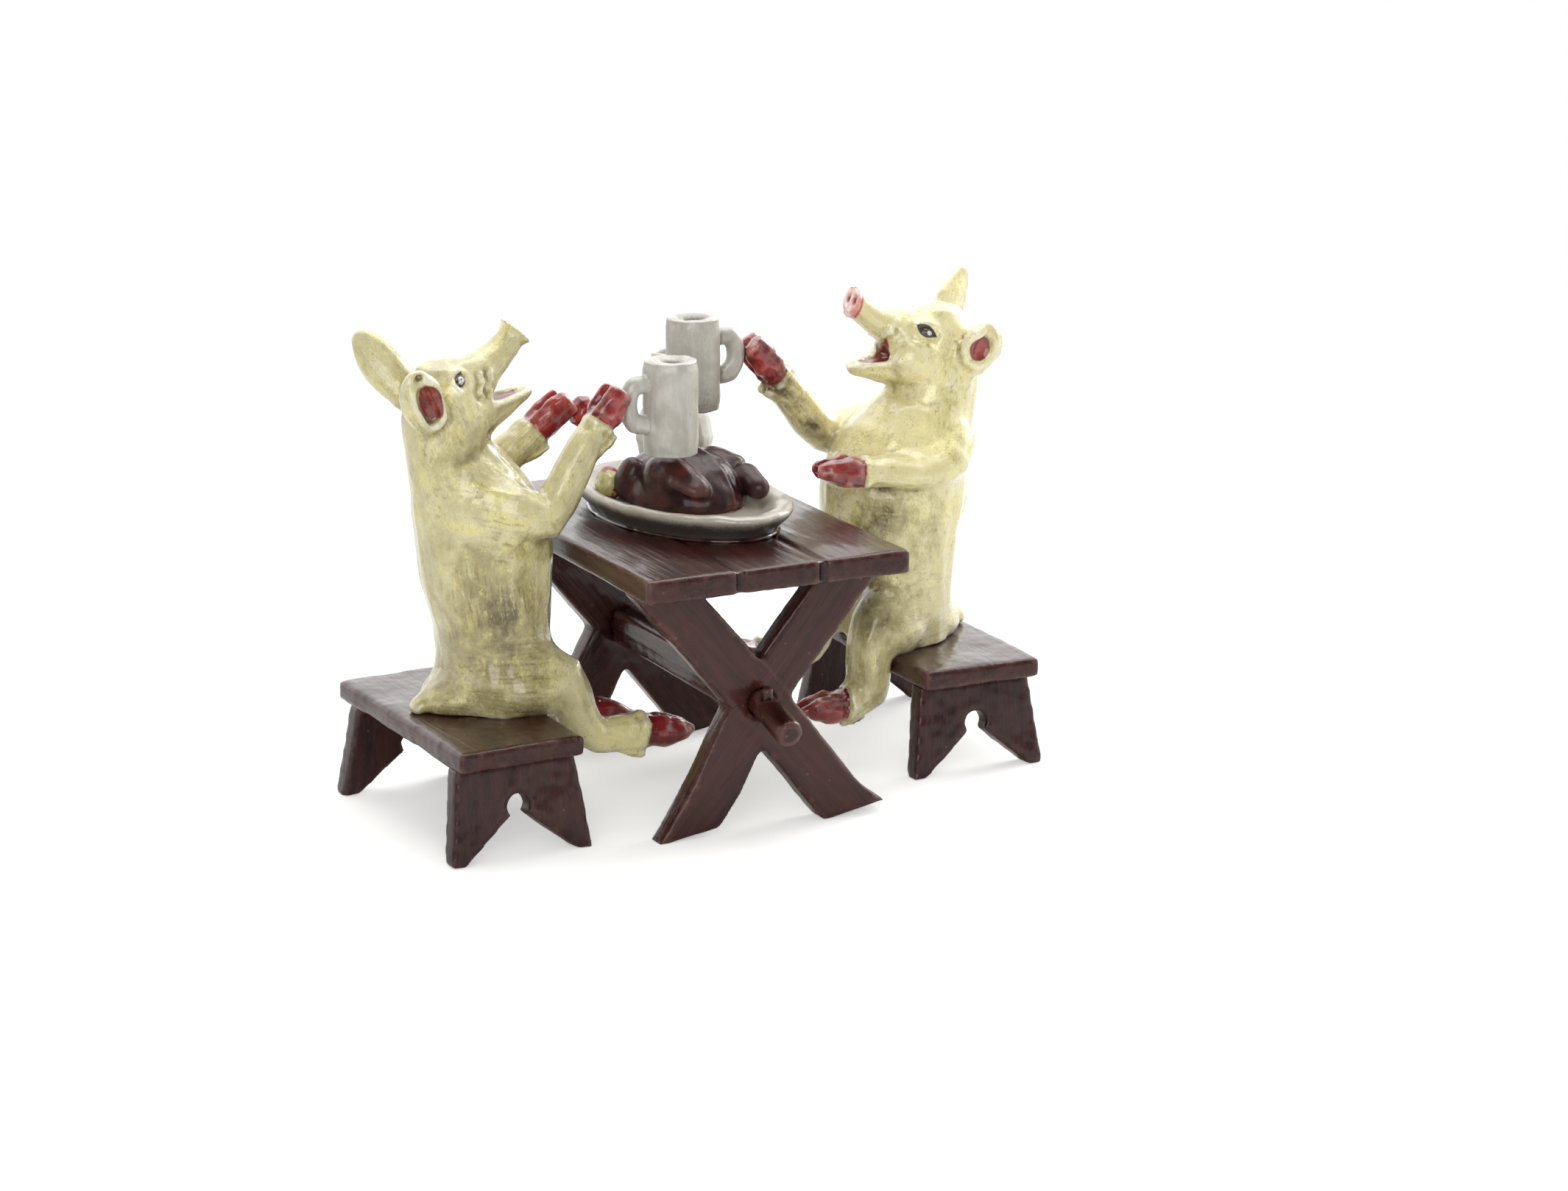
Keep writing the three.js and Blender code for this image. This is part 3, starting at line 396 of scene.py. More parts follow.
@dataclass(frozen=True)
class SkinPaint:
    """Pale gold pig paint with an olive wash in the hollows that is partly painted shade, painted light where
    the hollow mark is negative, red lacquered hooves and red-brown ears.
    """

    name: str
    eyes: tuple[Eye, ...]
    blush: float
    grime: float
    pale: Colour
    straw: Colour
    cream: Colour = paint(248, 245, 222)
    gold: Colour = paint(220, 205, 108)
    leaf: Colour = paint(240, 229, 146)
    # Painted light: a sunlit colour laid where the hollow mark is negative.
    painted_sunlight: Colour = paint(253, 242, 178)
    olive: Colour = paint(156, 143, 94)
    wash: Colour = paint(88, 74, 44)
    pit: Colour = paint(50, 40, 28)
    crimson: Colour = paint(98, 17, 21)
    cherry: Colour = paint(164, 46, 43)
    russet: Colour = paint(168, 66, 56)
    russet_dark: Colour = paint(110, 34, 30)
    coral: Colour = paint(200, 92, 84)
    rose: Colour = paint(228, 152, 140)
    shell: Colour = paint(244, 216, 204)
    ink: Colour = paint(18, 15, 15)
    pupil: Colour = paint(12, 10, 12)
    grey: Colour = paint(178, 180, 186)
    white: Colour = paint(236, 236, 234)
    glint: Colour = paint(250, 250, 250)
    eye_depth: float = 2.2
    glint_size: float = 0.1

    def material(self) -> bpy.types.Material:
        """Mixes the paint.

        Returns:
            The material, which reads the marks that the carving leaves on the pig.
        """
        mix = Recipe(self.name)
        limb = mix.mark("grain", "Vector")
        cloud = mix.grain(7, 3, (1, 1, 0.7), 0.55, 0.3)
        calm = mix.mark("calm")
        blot = mix.grain(2.6, 5, (1, 1, 0.8), 0.65, 0.3)
        patch = 0.5 + (mix.grain(2.4, 4, (1, 1, 0.4), 0.6, 0.25, limb) - 0.5) * calm
        brush = 0.5 + (mix.grain(0.55, 4, (1, 1, 0.1), 0.6, 0.1, limb) - 0.5) * calm
        fine = mix.grain(0.26, 4, (1, 1, 0.5), 0.65, 0.15)
        tone = (cloud * 0.45 + patch * 0.35 + brush * 0.2).rise(0.42, 0.58)
        leaf = (patch * 0.5 + cloud * 0.3 + fine * 0.2).rise(0.48, 0.57)
        # The hollow mark carries the olive wash together with painted shade, and is negative where light is
        # painted.
        hollow = mix.mark("hollow")
        loose = (blot - 0.5) * 0.9 + (brush - 0.5) * 0.7 + (fine - 0.5) * 0.4 + (self.grime - 1) * 0.25
        shade = hollow * (0.5 + blot) + loose
        stain_and_shade = shade.rise(0.45, 1.1)
        streak = (brush * 0.8 + fine * 0.3 + (cloud - 0.5) * 0.4).rise(0.6, 0.76)
        fleck = mix.grain(1.1, 5, (1, 1, 0.6), 0.7, 0.5)
        bare = (brush * 0.6 + fine * 0.4).rise(0.44, 0.32)
        worn = (mix.mark("edge") + (fine - 0.5) * 0.5).rise(0.15, 0.8)
        hoof = (mix.mark("hoof") + (fine - 0.5) * 0.5).rise(-0.12, 0.12)
        glow = mix.grain(4, 2, (1, 1, 1), 0.5, 0.2).rise(0.28, 0.74)
        # The rose on the rubbed edges of the hooves is wear and also a painted highlight; the darker red in
        # their hollows is partly painted shade.
        lacquer = mix.coats(mix.mix(glow, self.crimson, self.cherry), (worn * 0.6, self.rose),
                            (hollow.rise(0.2, 0.9) * 0.6, self.russet_dark))
        # Painted shade: a thin dark line where the cuff of skin meets the hoof.
        cuff = abs(mix.mark("hoof") + (fine - 0.5) * 0.8 + 0.2)
        inside = mix.mark("flesh")
        red = (inside + (fine - 0.5) * 0.16).rise(-0.1, 0.1)
        flesh = mix.mix((patch * 0.7 + fine * 0.3).rise(0.4, 0.6), self.russet_dark, self.russet)
        # Painted shade: the red goes darker near the edges of the ear hollows and the mouth, under rims and
        # lips.
        flesh = mix.mix(inside.rise(0.75, 0.1) * 0.6, flesh, self.russet_dark)
        snout = mix.mark("nose")
        middle = (snout + (fine - 0.5) * 0.5).rise(0.05, 0.45)
        bloom = mix.mix(middle, self.coral, mix.mix(patch.rise(0.42, 0.58), self.rose, self.shell))
        base = mix.coats(
            mix.mix(tone, self.straw, self.pale),
            (leaf * 0.55, self.gold),
            # Painted light where the hollow mark is negative.
            (hollow.rise(-0.1, -0.7) * 0.8, self.painted_sunlight),
            # Olive wash, partly painted shade from the hollow mark.
            (shade.rise(0.02, 0.6) * 0.75, self.olive),
            (stain_and_shade * 0.88, self.wash),
            (streak * 0.4, self.wash),
            (fleck.rise(0.53, 0.68) * 0.45, self.olive),
            (fleck.rise(0.45, 0.33) * 0.4, self.leaf),
            (bare * 0.4, self.cream),
            (worn * 0.55, self.cream),
            (mix.pits(1.3) * 0.75, self.pit),
            (hoof, lacquer),
            # Painted shade under the cuff.
            ((1 - cuff / 0.25).most(0.0) * 0.35, self.pit),
            (red, flesh),
            ((snout + self.blush + (fine - 0.5) * 0.3).rise(-0.1, 0.1),
             mix.mix(mix.mark("nostril") * 0.85, bloom, self.russet_dark)),
        )
        for eye in self.eyes:
            base = self.look(mix, base, eye)
        gloss = hoof.most(red)
        rough = 0.27 + (fine - 0.5) * 0.25 + stain_and_shade * 0.12 - leaf * 0.06 - gloss * 0.12
        metal = (1 - gloss) * (0.05 + leaf * 0.22)
        relief = mix.bump(brush, 0.13, mix.bump(fine, 0.06))
        return mix.finish(base, rough, metal, relief, 0.8 + gloss * 0.2, 0.06)

    def look(self, mix: Recipe, base: Term, eye: Eye) -> Term:
        """Paints one eye.

        Args:
            mix: The recipe at work.
            base: Colour under the eye.
            eye: Where it is and how it is drawn.

        Returns:
            The colour with the eye.
        """
        centred = mix.vector("SUBTRACT", mix.place, eye.centre)
        u, v, depth = (mix.vector("DOT_PRODUCT", centred, way) for way in (eye.along, eye.across, eye.outward))
        near = abs(depth).rise(self.eye_depth, self.eye_depth - 0.3)
        gaze = eye.gaze
        width, height = gaze.half

        def oval(at: Pair, half: Pair, soft: float) -> Term:
            """A soft-edged oval on the eye's own axes."""
            reach = ((u - at[0]) / half[0]) ** 2.0 + ((v - at[1]) / half[1]) ** 2.0
            return reach.rise(1 + soft, 1 - soft) * near

        lens = abs(v - gaze.weight[1]) / gaze.outline[1] + ((u - gaze.weight[0]) / gaze.outline[0]) ** 2.0
        base = mix.mix(lens.rise(1.1, 0.95) * near * 0.96, base, self.ink)
        ball = mix.mix(mix.grain(0.5, 2).rise(0.4, 0.6), self.grey, self.white)
        base = mix.mix(oval((0, 0), gaze.half, 0.2), base, ball)
        if gaze.pupil is None:
            return base
        base = mix.mix(oval(gaze.pupil, (width * 0.42, height * 0.5), 0.3), base, self.pupil)
        # Painted highlight: a small white glint beside the pupil.
        shine = (gaze.pupil[0] + width * 0.15, gaze.pupil[1] + height * 0.2)
        return mix.mix(oval(shine, (self.glint_size, self.glint_size), 0.4), base, self.glint)


@dataclass(frozen=True)
class MetalPaint:
    """Grey metal paint of the mugs and the dish, darker in the hollows and where shade is painted low down,
    with rubbed high spots.
    """

    name: str
    body: Colour
    light: Colour
    stain_and_shade: Colour
    shine: float
    brushed: float
    rough: float = 0.34

    def material(self) -> bpy.types.Material:
        """Mixes the paint.

        Returns:
            The material, which reads the edge and hollow marks of a piece.
        """
        mix = Recipe(self.name)
        cloud = mix.grain(3.4, 4, (1, 1, 0.7), 0.6, 0.3)
        fine = mix.grain(0.35, 4, (1, 1, 0.7), 0.65, 0.2)
        streak = mix.grain(0.7, 4, (1, 1, 0.14), 0.6, 0.1)
        tone = cloud * (1 - self.brushed) + streak * self.brushed
        rub = (mix.mark("edge") + (fine - 0.5) * 0.9).rise(0.25, 0.85)
        dark = (mix.mark("hollow") + (fine - 0.5) * 0.6 + (tone - 0.5) * 0.7).rise(0.25, 0.95)
        base = mix.coats(mix.mix(tone.rise(0.36, 0.64) * 0.8, self.body, self.light), (rub * 0.75, self.light),
                         (dark * 0.85, self.stain_and_shade), (mix.pits(1.4) * 0.75, self.stain_and_shade))
        rough = self.rough + (fine - 0.5) * 0.25 + dark * 0.12 - rub * 0.1
        relief = mix.bump(cloud, 0.12, mix.bump(fine, 0.05))
        return mix.finish(base, rough, self.shine, relief, 0.3, 0.14)


@dataclass(frozen=True)
class GlazePaint:
    """Dark, wet-looking glaze of the roast with red lights."""

    name: str
    rough: float
    coat: float
    deep: Colour = paint(44, 22, 23)
    brown: Colour = paint(72, 42, 40)
    ember: Colour = paint(124, 30, 32)
    char: Colour = paint(18, 8, 9)
    crust_and_highlight: Colour = paint(122, 92, 86)

    def material(self) -> bpy.types.Material:
        """Mixes the glaze.

        Returns:
            The material, which reads the edge and hollow marks of a piece.
        """
        mix = Recipe(self.name)
        cloud = mix.grain(4.2, 3, (1, 1, 1), 0.5, 0.8)
        fine = mix.grain(0.7, 4, (1, 1, 1), 0.6, 0.5)
        hollow = mix.mark("hollow")
        blood = (hollow * 0.4 + (cloud - 0.5) + (fine - 0.5) * 0.7).rise(0.12, 0.3)
        base = mix.coats(mix.mix(cloud.rise(0.38, 0.62), self.deep, self.brown), (blood * 0.6, self.ember),
                         (hollow.rise(0.5, 1.2) * 0.7, self.char),
                         # Lighter crust on the edges, which also paints a highlight along the ridges.
                         (mix.mark("edge").rise(0.3, 1.1) * 0.25, self.crust_and_highlight))
        relief = mix.bump(cloud, 0.12, mix.bump(fine, 0.05))
        return mix.finish(base, self.rough + (fine - 0.5) * 0.2, 0.0, relief, self.coat, 0.06, 0.22)


@dataclass(frozen=True)
class DabPaint:
    """Small dabs of colour: garnish, apple, jug glaze and bare brass."""

    name: str
    low: Colour
    high: Colour
    shade: Colour
    rough: float = 0.35
    metal: float = 0.0
    coat: float = 0.4
    red: Colour | None = None

    def material(self) -> bpy.types.Material:
        """Mixes the paint.

        Returns:
            The material, which reads the hollow mark of a piece.
        """
        mix = Recipe(self.name)
        cloud = mix.grain(1.8, 4, (1, 1, 0.8), 0.6, 0.6)
        fine = mix.grain(0.35, 4, (1, 1, 1), 0.6, 0.4)
        base = mix.mix(cloud.rise(0.36, 0.64), self.low, self.high)
        if self.red is not None:
            base = mix.mix(mix.grain(2.4, 2).rise(0.52, 0.6), base, self.red)
        dark = (mix.mark("hollow") + (fine - 0.5) * 0.6 + (cloud - 0.5) * 0.4).rise(0.2, 0.9)
        base = mix.mix(dark * 0.75, base, self.shade)
        relief = mix.bump(cloud, 0.12, mix.bump(fine, 0.04))
        return mix.finish(base, self.rough + (fine - 0.5) * 0.2, self.metal, relief, self.coat, 0.1)


class Palette:
    """Every finish but the pigs' own skins."""

    def __init__(self) -> None:
        """Mixes the paints."""
        self.wood = WoodPaint().material()
        self.pewter = MetalPaint("mug_pewter", paint(176, 173, 164), paint(208, 205, 198), paint(108, 101, 86),
                                 shine=0.12, brushed=0.3).material()
        # The dish's dark colour paints the shade under its rim.
        self.dish = MetalPaint("dish_pewter", paint(176, 169, 157), paint(186, 179, 168), paint(46, 40, 39),
                               shine=0.15, brushed=0.0).material()
        self.glaze = GlazePaint("roast_glaze", rough=0.32, coat=0.2).material()
        self.varnish = GlazePaint("pooled_varnish", rough=0.14, coat=1.0).material()
        self.greens = DabPaint("garnish_greens", paint(192, 184, 116), paint(226, 220, 166), paint(80, 68, 36),
                               metal=0.1, red=paint(130, 26, 28)).material()
        self.red = DabPaint("red_lacquer", paint(112, 12, 20), paint(176, 40, 42), paint(60, 10, 14),
                            rough=0.18, coat=0.9).material()
        self.clay = DabPaint("jug_glaze", paint(204, 199, 190), paint(226, 222, 214),
                             paint(130, 122, 110)).material()
        self.brass = DabPaint("screw_brass", paint(150, 120, 60), paint(196, 168, 96), paint(70, 52, 24),
                              metal=0.9, coat=0.0).material()


@dataclass(frozen=True)
class Place:
    """A sub-assembly's own axes: forward, sideways and up in millimetres from an origin in the model."""

    origin: Point = (0.0, 0.0, 0.0)
    yaw: float = 0.0

    @classmethod
    def over(cls, low: Vector, high: Vector, height: float, yaw: float = 0.0) -> "Place":
        """The place at a height over the middle of a box."""
        middle = (low + high) / 2
        return cls((middle.x, middle.y, height), yaw)

    def turn(self) -> np.ndarray:
        """The rotation from own axes to the model's."""
        c, s = math.cos(self.yaw), math.sin(self.yaw)
        return np.array([[c, -s, 0], [s, c, 0], [0, 0, 1]])

    def into(self, points: np.ndarray) -> np.ndarray:
        """Own coordinates in millimetres of points given in metres."""
        return (points - np.array(self.origin)) / MM @ self.turn()

    def out(self, points: np.ndarray) -> np.ndarray:
        """Points in metres of own coordinates in millimetres."""
        return points @ self.turn().T * MM + np.array(self.origin)

    def aim(self, direction: np.ndarray) -> np.ndarray:
        """A direction of its own in the model's axes."""
        return direction @ self.turn().T


class Cut(Enum):
    """Half width and depth of every groove in millimetres; a negative depth raises a ridge."""

    PLANK_JOINT = (0.35, 0.12)
    PLANK_END = (0.5, 0.6)
    ROAST_SNOUT = (0.85, -0.8)
    ROAST_CHIN = (0.6, 0.3)
    ROAST_RIDGE = (0.6, -0.22)
    ROAST_FURROW = (0.6, 0.15)
    SOLDER = (0.8, -0.45)
    CHEEK_FOLD = (0.45, 0.2)
    CHEEK_SWELL = (0.45, -0.34)
    CREASE = (0.9, 0.35)
    LIP = (0.55, -0.32)
    NOSTRIL = (0.35, 0.6)
    EAR_RIM = (0.6, -0.4)
    EYELID = (0.34, 0.3)
    BROW = (0.45, -0.3)
    CLEFT = (0.45, 0.6)


class Clay:
    """The points of one piece while it is carved, in its place's own millimetres."""

    def __init__(self, piece: bpy.types.Object, place: Place) -> None:
        """Takes the points and edges of a piece.

        Args:
            piece: The piece.
            place: Axes of its sub-assembly.
        """
        self.piece = piece
        self.place = place
        mesh = piece.data
        spots = np.empty(len(mesh.vertices) * 3)
        mesh.vertices.foreach_get("co", spots)
        self.points = place.into(spots.reshape(-1, 3))
        ends = np.empty(len(mesh.edges) * 2, dtype=np.int64)
        mesh.edges.foreach_get("vertices", ends)
        self.ends = ends.reshape(-1, 2)
        self.count = len(self.points)
        self.degree = np.maximum(np.bincount(ends, minlength=self.count), 1)

    @classmethod
    def cast(cls, name: str, nodes: Sequence[str], voxel: float, place: Place, seal: float = 0.0,
             pads: Sequence[tuple[Point, Point]] = ()) -> "Clay":
        """Pours copies of CAD solids into one dense skin.

        Args:
            name: Name of the piece.
            nodes: CAD nodes that the piece stands for.
            voxel: Size of the skin's faces in millimetres.
            place: Axes of the sub-assembly.
            seal: Width of the joint between the solids that the paint closes, in millimetres.
            pads: Middles and half sizes of lumps of wax added before the pouring.

        Returns:
            The new piece.
        """
        bpy.ops.object.select_all(action="DESELECT")
        copies = [bpy.data.objects.new(name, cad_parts[node].data.copy()) for node in nodes]
        for copy in copies:
            bpy.context.scene.collection.objects.link(copy)
        for spot, half in pads:
            bpy.ops.mesh.primitive_uv_sphere_add(segments=28, ring_count=18, radius=MM,
                                                 location=place.out(np.array(spot)), scale=half)
            bpy.ops.object.transform_apply(location=True, rotation=True, scale=True)
            copies.append(bpy.context.object)
        for copy in copies:
            copy.select_set(True)
        bpy.context.view_layer.objects.active = copies[0]
        bpy.ops.object.mode_set(mode="EDIT")
        bpy.ops.mesh.select_all(action="SELECT")
        bpy.ops.mesh.remove_doubles(threshold=1e-6)
        bpy.ops.object.mode_set(mode="OBJECT")
        if len(copies) > 1:
            bpy.ops.object.join()
        piece = bpy.context.view_layer.objects.active
        piece.name = piece.data.name = name
        piece.data.materials.clear()
        if seal:
            cls.modify(piece, "DISPLACE", strength=seal * MM, mid_level=0.0)
        cls.modify(piece, "REMESH", mode="VOXEL", voxel_size=voxel * MM)
        if seal:
            cls.modify(piece, "DISPLACE", strength=-seal * MM, mid_level=0.0)
        return cls(piece, place)

    @staticmethod
    def modify(piece: bpy.types.Object, kind: str, **settings: object) -> None:
        """Adds a modifier and applies it.

        Args:
            piece: The piece.
            kind: Blender's name of the modifier.
            **settings: Properties of the modifier.
        """
        bpy.ops.object.select_all(action="DESELECT")
        piece.select_set(True)
        bpy.context.view_layer.objects.active = piece
        tool = piece.modifiers.new(kind.lower(), kind)
        for key, value in settings.items():
            setattr(tool, key, value)
        bpy.ops.object.modifier_apply(modifier=tool.name)

    def deliver(self, body: str, slot: str, material: bpy.types.Material, nodes: Sequence[str] = ()) -> None:
        """Dresses the finished piece and fixes it to its body.

        Args:
            body: CAD body that carries it.
            slot: Name of a material slot; not used.
            material: Its finish.
            nodes: CAD nodes that it stands for.
        """
        self.push()
        piece = self.piece
        piece.data.materials.clear()
        piece.data.materials.append(material)
        piece.data.polygons.foreach_set("use_smooth", [True] * len(piece.data.polygons))
        piece.data.update()
        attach(piece, body)
        if nodes:
            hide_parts(*nodes)
        LOG.info("%s rides on %s with %d faces", piece.name, body, len(piece.data.polygons))

    def spread(self, values: np.ndarray, rounds: int = 1) -> np.ndarray:
        """Mean of each point's neighbours.

        Args:
            values: One number or one row for each point.
            rounds: How often.

        Returns:
            The means, in the same shape.
        """
        first, second = self.ends.T
        for _ in range(rounds):
            table = values.reshape(self.count, -1)
            means = np.empty_like(table, dtype=float)
            for column, one in enumerate(table.T):
                means[:, column] = (np.bincount(first, one[second], self.count)
                                    + np.bincount(second, one[first], self.count)) / self.degree
            values = means.reshape(values.shape)
        return values

    def push(self) -> None:
        """Writes the points back to the mesh."""
        self.piece.data.vertices.foreach_set("co", self.place.out(self.points).ravel())
        self.piece.data.update()

    def normals(self) -> np.ndarray:
        """Measures the outward directions.

        Returns:
            One direction in own axes for each point.
        """
        self.push()
        found = np.empty(self.count * 3)
        self.piece.data.vertex_normals.foreach_get("vector", found)
        return found.reshape(-1, 3) @ self.place.turn()

    def smooth(self, rounds: int, weight: np.ndarray | float = 1.0, keep: bool = True) -> None:
        """Rounds the form.

        Args:
            rounds: How often.
            weight: Strength from 0 to 1, for all points or for each.
            keep: Whether each round is followed by one that gives the volume back.
        """
        share = np.broadcast_to(weight, (self.count,))[:, None]
        for _ in range(rounds):
            self.points += 0.5 * share * (self.spread(self.points) - self.points)
            if keep:
                self.points -= 0.52 * share * (self.spread(self.points) - self.points)

    def puff(self, amount: np.ndarray | float) -> None:
        """Moves the points along their normals by an amount in millimetres."""
        self.points += self.normals() * np.broadcast_to(amount, (self.count,))[:, None]

    def snap(self, spot: Sequence[float]) -> np.ndarray:
        """The point of the surface nearest to a spot, which goes on moving with the surface."""
        return self.points[np.argmin(((self.points - np.array(spot)) ** 2).sum(1))]

    def away(self, spot: Sequence[float]) -> np.ndarray:
        """Distance of every point from a spot."""
        return np.linalg.norm(self.points - np.array(spot), axis=1)

    def around(self, spot: Sequence[float], size: float) -> np.ndarray:
        """1 at a spot, falling off softly over the given size."""
        return np.exp(-(self.away(spot) / size) ** 2)

    def reach(self, line: Line) -> np.ndarray:
        """Measures the distance of every point from a line.

        Args:
            line: One or more corners of the line.

        Returns:
            The distances in millimetres.
        """
        corners = [np.array(spot, float) for spot in line]
        best = np.full(self.count, FAR)
        for start, end in zip(corners, corners[1:] or corners):
            axis = end - start
            size = max(float(axis @ axis), 1e-9)
            share = np.clip((self.points - start) @ axis / size, 0, 1)
            best = np.minimum(best, np.linalg.norm(self.points - start - share[:, None] * axis, axis=1))
        return best

    def lay(self, line: Line, step: float = 0.5) -> Line:
        """Lays a line onto the surface.

        Args:
            line: Corners of the line.
            step: Distance between the new corners in millimetres.

        Returns:
            Corners on the surface.
        """
        corners = [np.array(spot, float) for spot in line]
        dense = []
        for start, end in zip(corners, corners[1:]):
            pieces = max(2, int(np.linalg.norm(end - start) / step))
            dense += [start + (end - start) * k / pieces for k in range(pieces)]
        return [self.snap(spot) for spot in dense + [corners[-1]]]

    def carve(self, line: Line, cut: Union[Cut, Pair], snap: bool = True) -> None:
        """Cuts a rounded groove along a line, or raises a ridge where the depth is negative.

        Args:
            line: Corners of the line; a single one makes a dent or a boss.
            cut: Half width and depth in millimetres, by name or as numbers.
            snap: Whether the line is first laid onto the surface.
        """
        width, depth = cut.value if isinstance(cut, Cut) else cut
        gap = self.reach(self.lay(line) if snap else line)
        self.puff(-depth * np.exp(-(gap / width) ** 2))

    def fill(self, rounds: int, weight: np.ndarray) -> None:
        """Fills creases as poured wax would and leaves the high places.

        Args:
            rounds: How often; the normals are renewed every sixth time.
            weight: Strength from 0 to 1 for each point.
        """
        for step in range(rounds):
            if step % 6 == 0:
                normals = self.normals()
            lift = np.maximum(((self.spread(self.points) - self.points) * normals).sum(1), 0)
            self.points += normals * (0.95 * weight * lift)[:, None]

    def waves(self, size: float, depth: np.ndarray | float, seed: float, stretch: Point = (1, 1, 1)) -> None:
        """Gives the surface the slight lumps of hand work.

        Args:
            size: Size of the lumps in millimetres.
            depth: Their height in millimetres, for all points or for each.
            seed: Start of the pattern.
            stretch: Factors on the coordinates.
        """
        spots = self.points * np.array(stretch) / size + seed
        self.puff(depth * np.array([noise.noise(Vector(spot)) for spot in spots]))

    def mark(self, name: str, values: np.ndarray) -> None:
        """Stores a mark at the points of the mesh.

        Args:
            name: Name that the paint reads.
            values: One number or one vector for each point.
        """
        kind, key = ("FLOAT_VECTOR", "vector") if values.ndim == 2 else ("FLOAT", "value")
        layer = self.piece.data.attributes.new(name, kind, "POINT")
        layer.data.foreach_set(key, values.astype(np.float32).ravel())

    def shelter(self, reach: float = 8.0, rays: int = 7, lift: float = 0.08) -> np.ndarray:
        """Measures how far the piece itself covers the space above each point.

        Args:
            reach: Length of the feelers in millimetres.
            rays: Feelers for each point.
            lift: Height above the surface at which they start.

        Returns:
            Covered share from 0 to 1.
        """
        normals = self.normals()
        faces = [face.vertices[:] for face in self.piece.data.polygons]
        tree = BVHTree.FromPolygons(self.points.tolist(), faces)
        chance = np.random.default_rng(11)
        starts = (self.points + normals * lift).tolist()
        covered = np.zeros(self.count)
        for _ in range(rays):
            aim = chance.normal(size=(self.count, 3))
            aim = normals + aim / np.linalg.norm(aim, axis=1)[:, None]
            hits = [tree.ray_cast(spot, way, reach)[3] for spot, way in zip(starts, aim.tolist())]
            covered += np.array([0.0 if far is None else 1 - far / reach for far in hits])
        return self.spread(covered / rays, 5)

    def follow(self, lines: Sequence[Line], pitch: float = 17.0,
               seam: float = 1.4) -> tuple[np.ndarray, np.ndarray]:
        """Coordinates that run along the nearest of several limbs.

        Args:
            lines: Middle lines of the limbs.
            pitch: Offset between the patterns of two limbs.
            seam: Width over which the pattern fades where limbs meet, in millimetres.

        Returns:
            For each point two coordinates across its limb and one along it, and a number that falls to 0
            where two limbs meet.
        """
        best = np.full(self.count, FAR)
        second = np.full(self.count, FAR)
        found = np.zeros((self.count, 3))
        for number, line in enumerate(lines):
            gone = number * pitch
            for start, end in zip(line, line[1:]):
                head, axis = np.array(start, float), np.array(end, float) - np.array(start, float)
                length = np.linalg.norm(axis)
                axis /= length
                side = np.array([0.0, 1.0, 0.0])
                side = unit(side - axis * (side @ axis))
                along = (self.points - head) @ axis
                away = self.points - head - np.clip(along, 0, length)[:, None] * axis
                gap = np.linalg.norm(away, axis=1)
                row = np.stack([away @ side, away @ np.cross(axis, side), along + gone], 1)
                found = np.where((gap < best)[:, None], row, found)
                second = np.minimum(second, np.maximum(gap, best))
                best = np.minimum(best, gap)
                gone += length
        return found, climb(second - best, 0, seam)

    def wear(self, rounds: int = 4, gain: float = 9.0, most: float = 1.5) -> np.ndarray:
        """Marks worn edges and measures concave hollows from the curvature.

        Args:
            rounds: How far the marks spread.
            gain: Their strength.
            most: Their upper limit.

        Returns:
            The hollow mark, from 0 to the limit.
        """
        normals = self.normals()
        curve = ((self.spread(self.points) - self.points) * normals).sum(1)
        edges = self.points[self.ends[:, 0]] - self.points[self.ends[:, 1]]
        scale = gain / np.sqrt(np.median((edges ** 2).sum(1)))
        curve = self.spread(curve, rounds) * scale
        self.mark("edge", np.clip(-curve, 0, most))
        return np.clip(curve, 0, most)


class Lie(Enum):
    """The way a board's grain lies."""

    LONG = "long"
    UPRIGHT = "upright"


@dataclass
class Board:
    """One board of the furniture, cast and painted."""

    node: str
    body: str
    lie: Lie
    voxel: float = 0.36
    rounding: int = 7
    lumps: float = 0.16
    seed: float = 0.0
    swell: float = 0.0
    painted_shade: float = 0.0

    def build(self, place: Place, wood: bpy.types.Material) -> None:
        """Casts, wears and paints the board.

        Args:
            place: Axes of the furniture that it belongs to.
            wood: Wood paint.
        """
        clay = Clay.cast(f"{self.node}_painted", [self.node], self.voxel, place)
        clay.smooth(self.rounding, keep=False)
        clay.puff(self.swell)
        self.shape(clay)
        clay.mark("grain", self.grain(clay.points) + self.seed * 7)
        # The extra hollow mark of the bench legs is painted shade under the seats.
        clay.mark("hollow", clay.wear() * 0.9 + self.painted_shade)
        clay.deliver(self.body, "wood_paint", wood, [self.node])

    def shape(self, clay: Clay) -> None:
        """Gives the board large and small lumps."""
        clay.waves(7, self.lumps, self.seed)
        clay.waves(1.6, self.lumps * 0.3, self.seed + 31)

    def grain(self, points: np.ndarray) -> np.ndarray:
        """Coordinates across, along and through the board."""
        return points[:, [0, 2, 1]] if self.lie is Lie.UPRIGHT else points


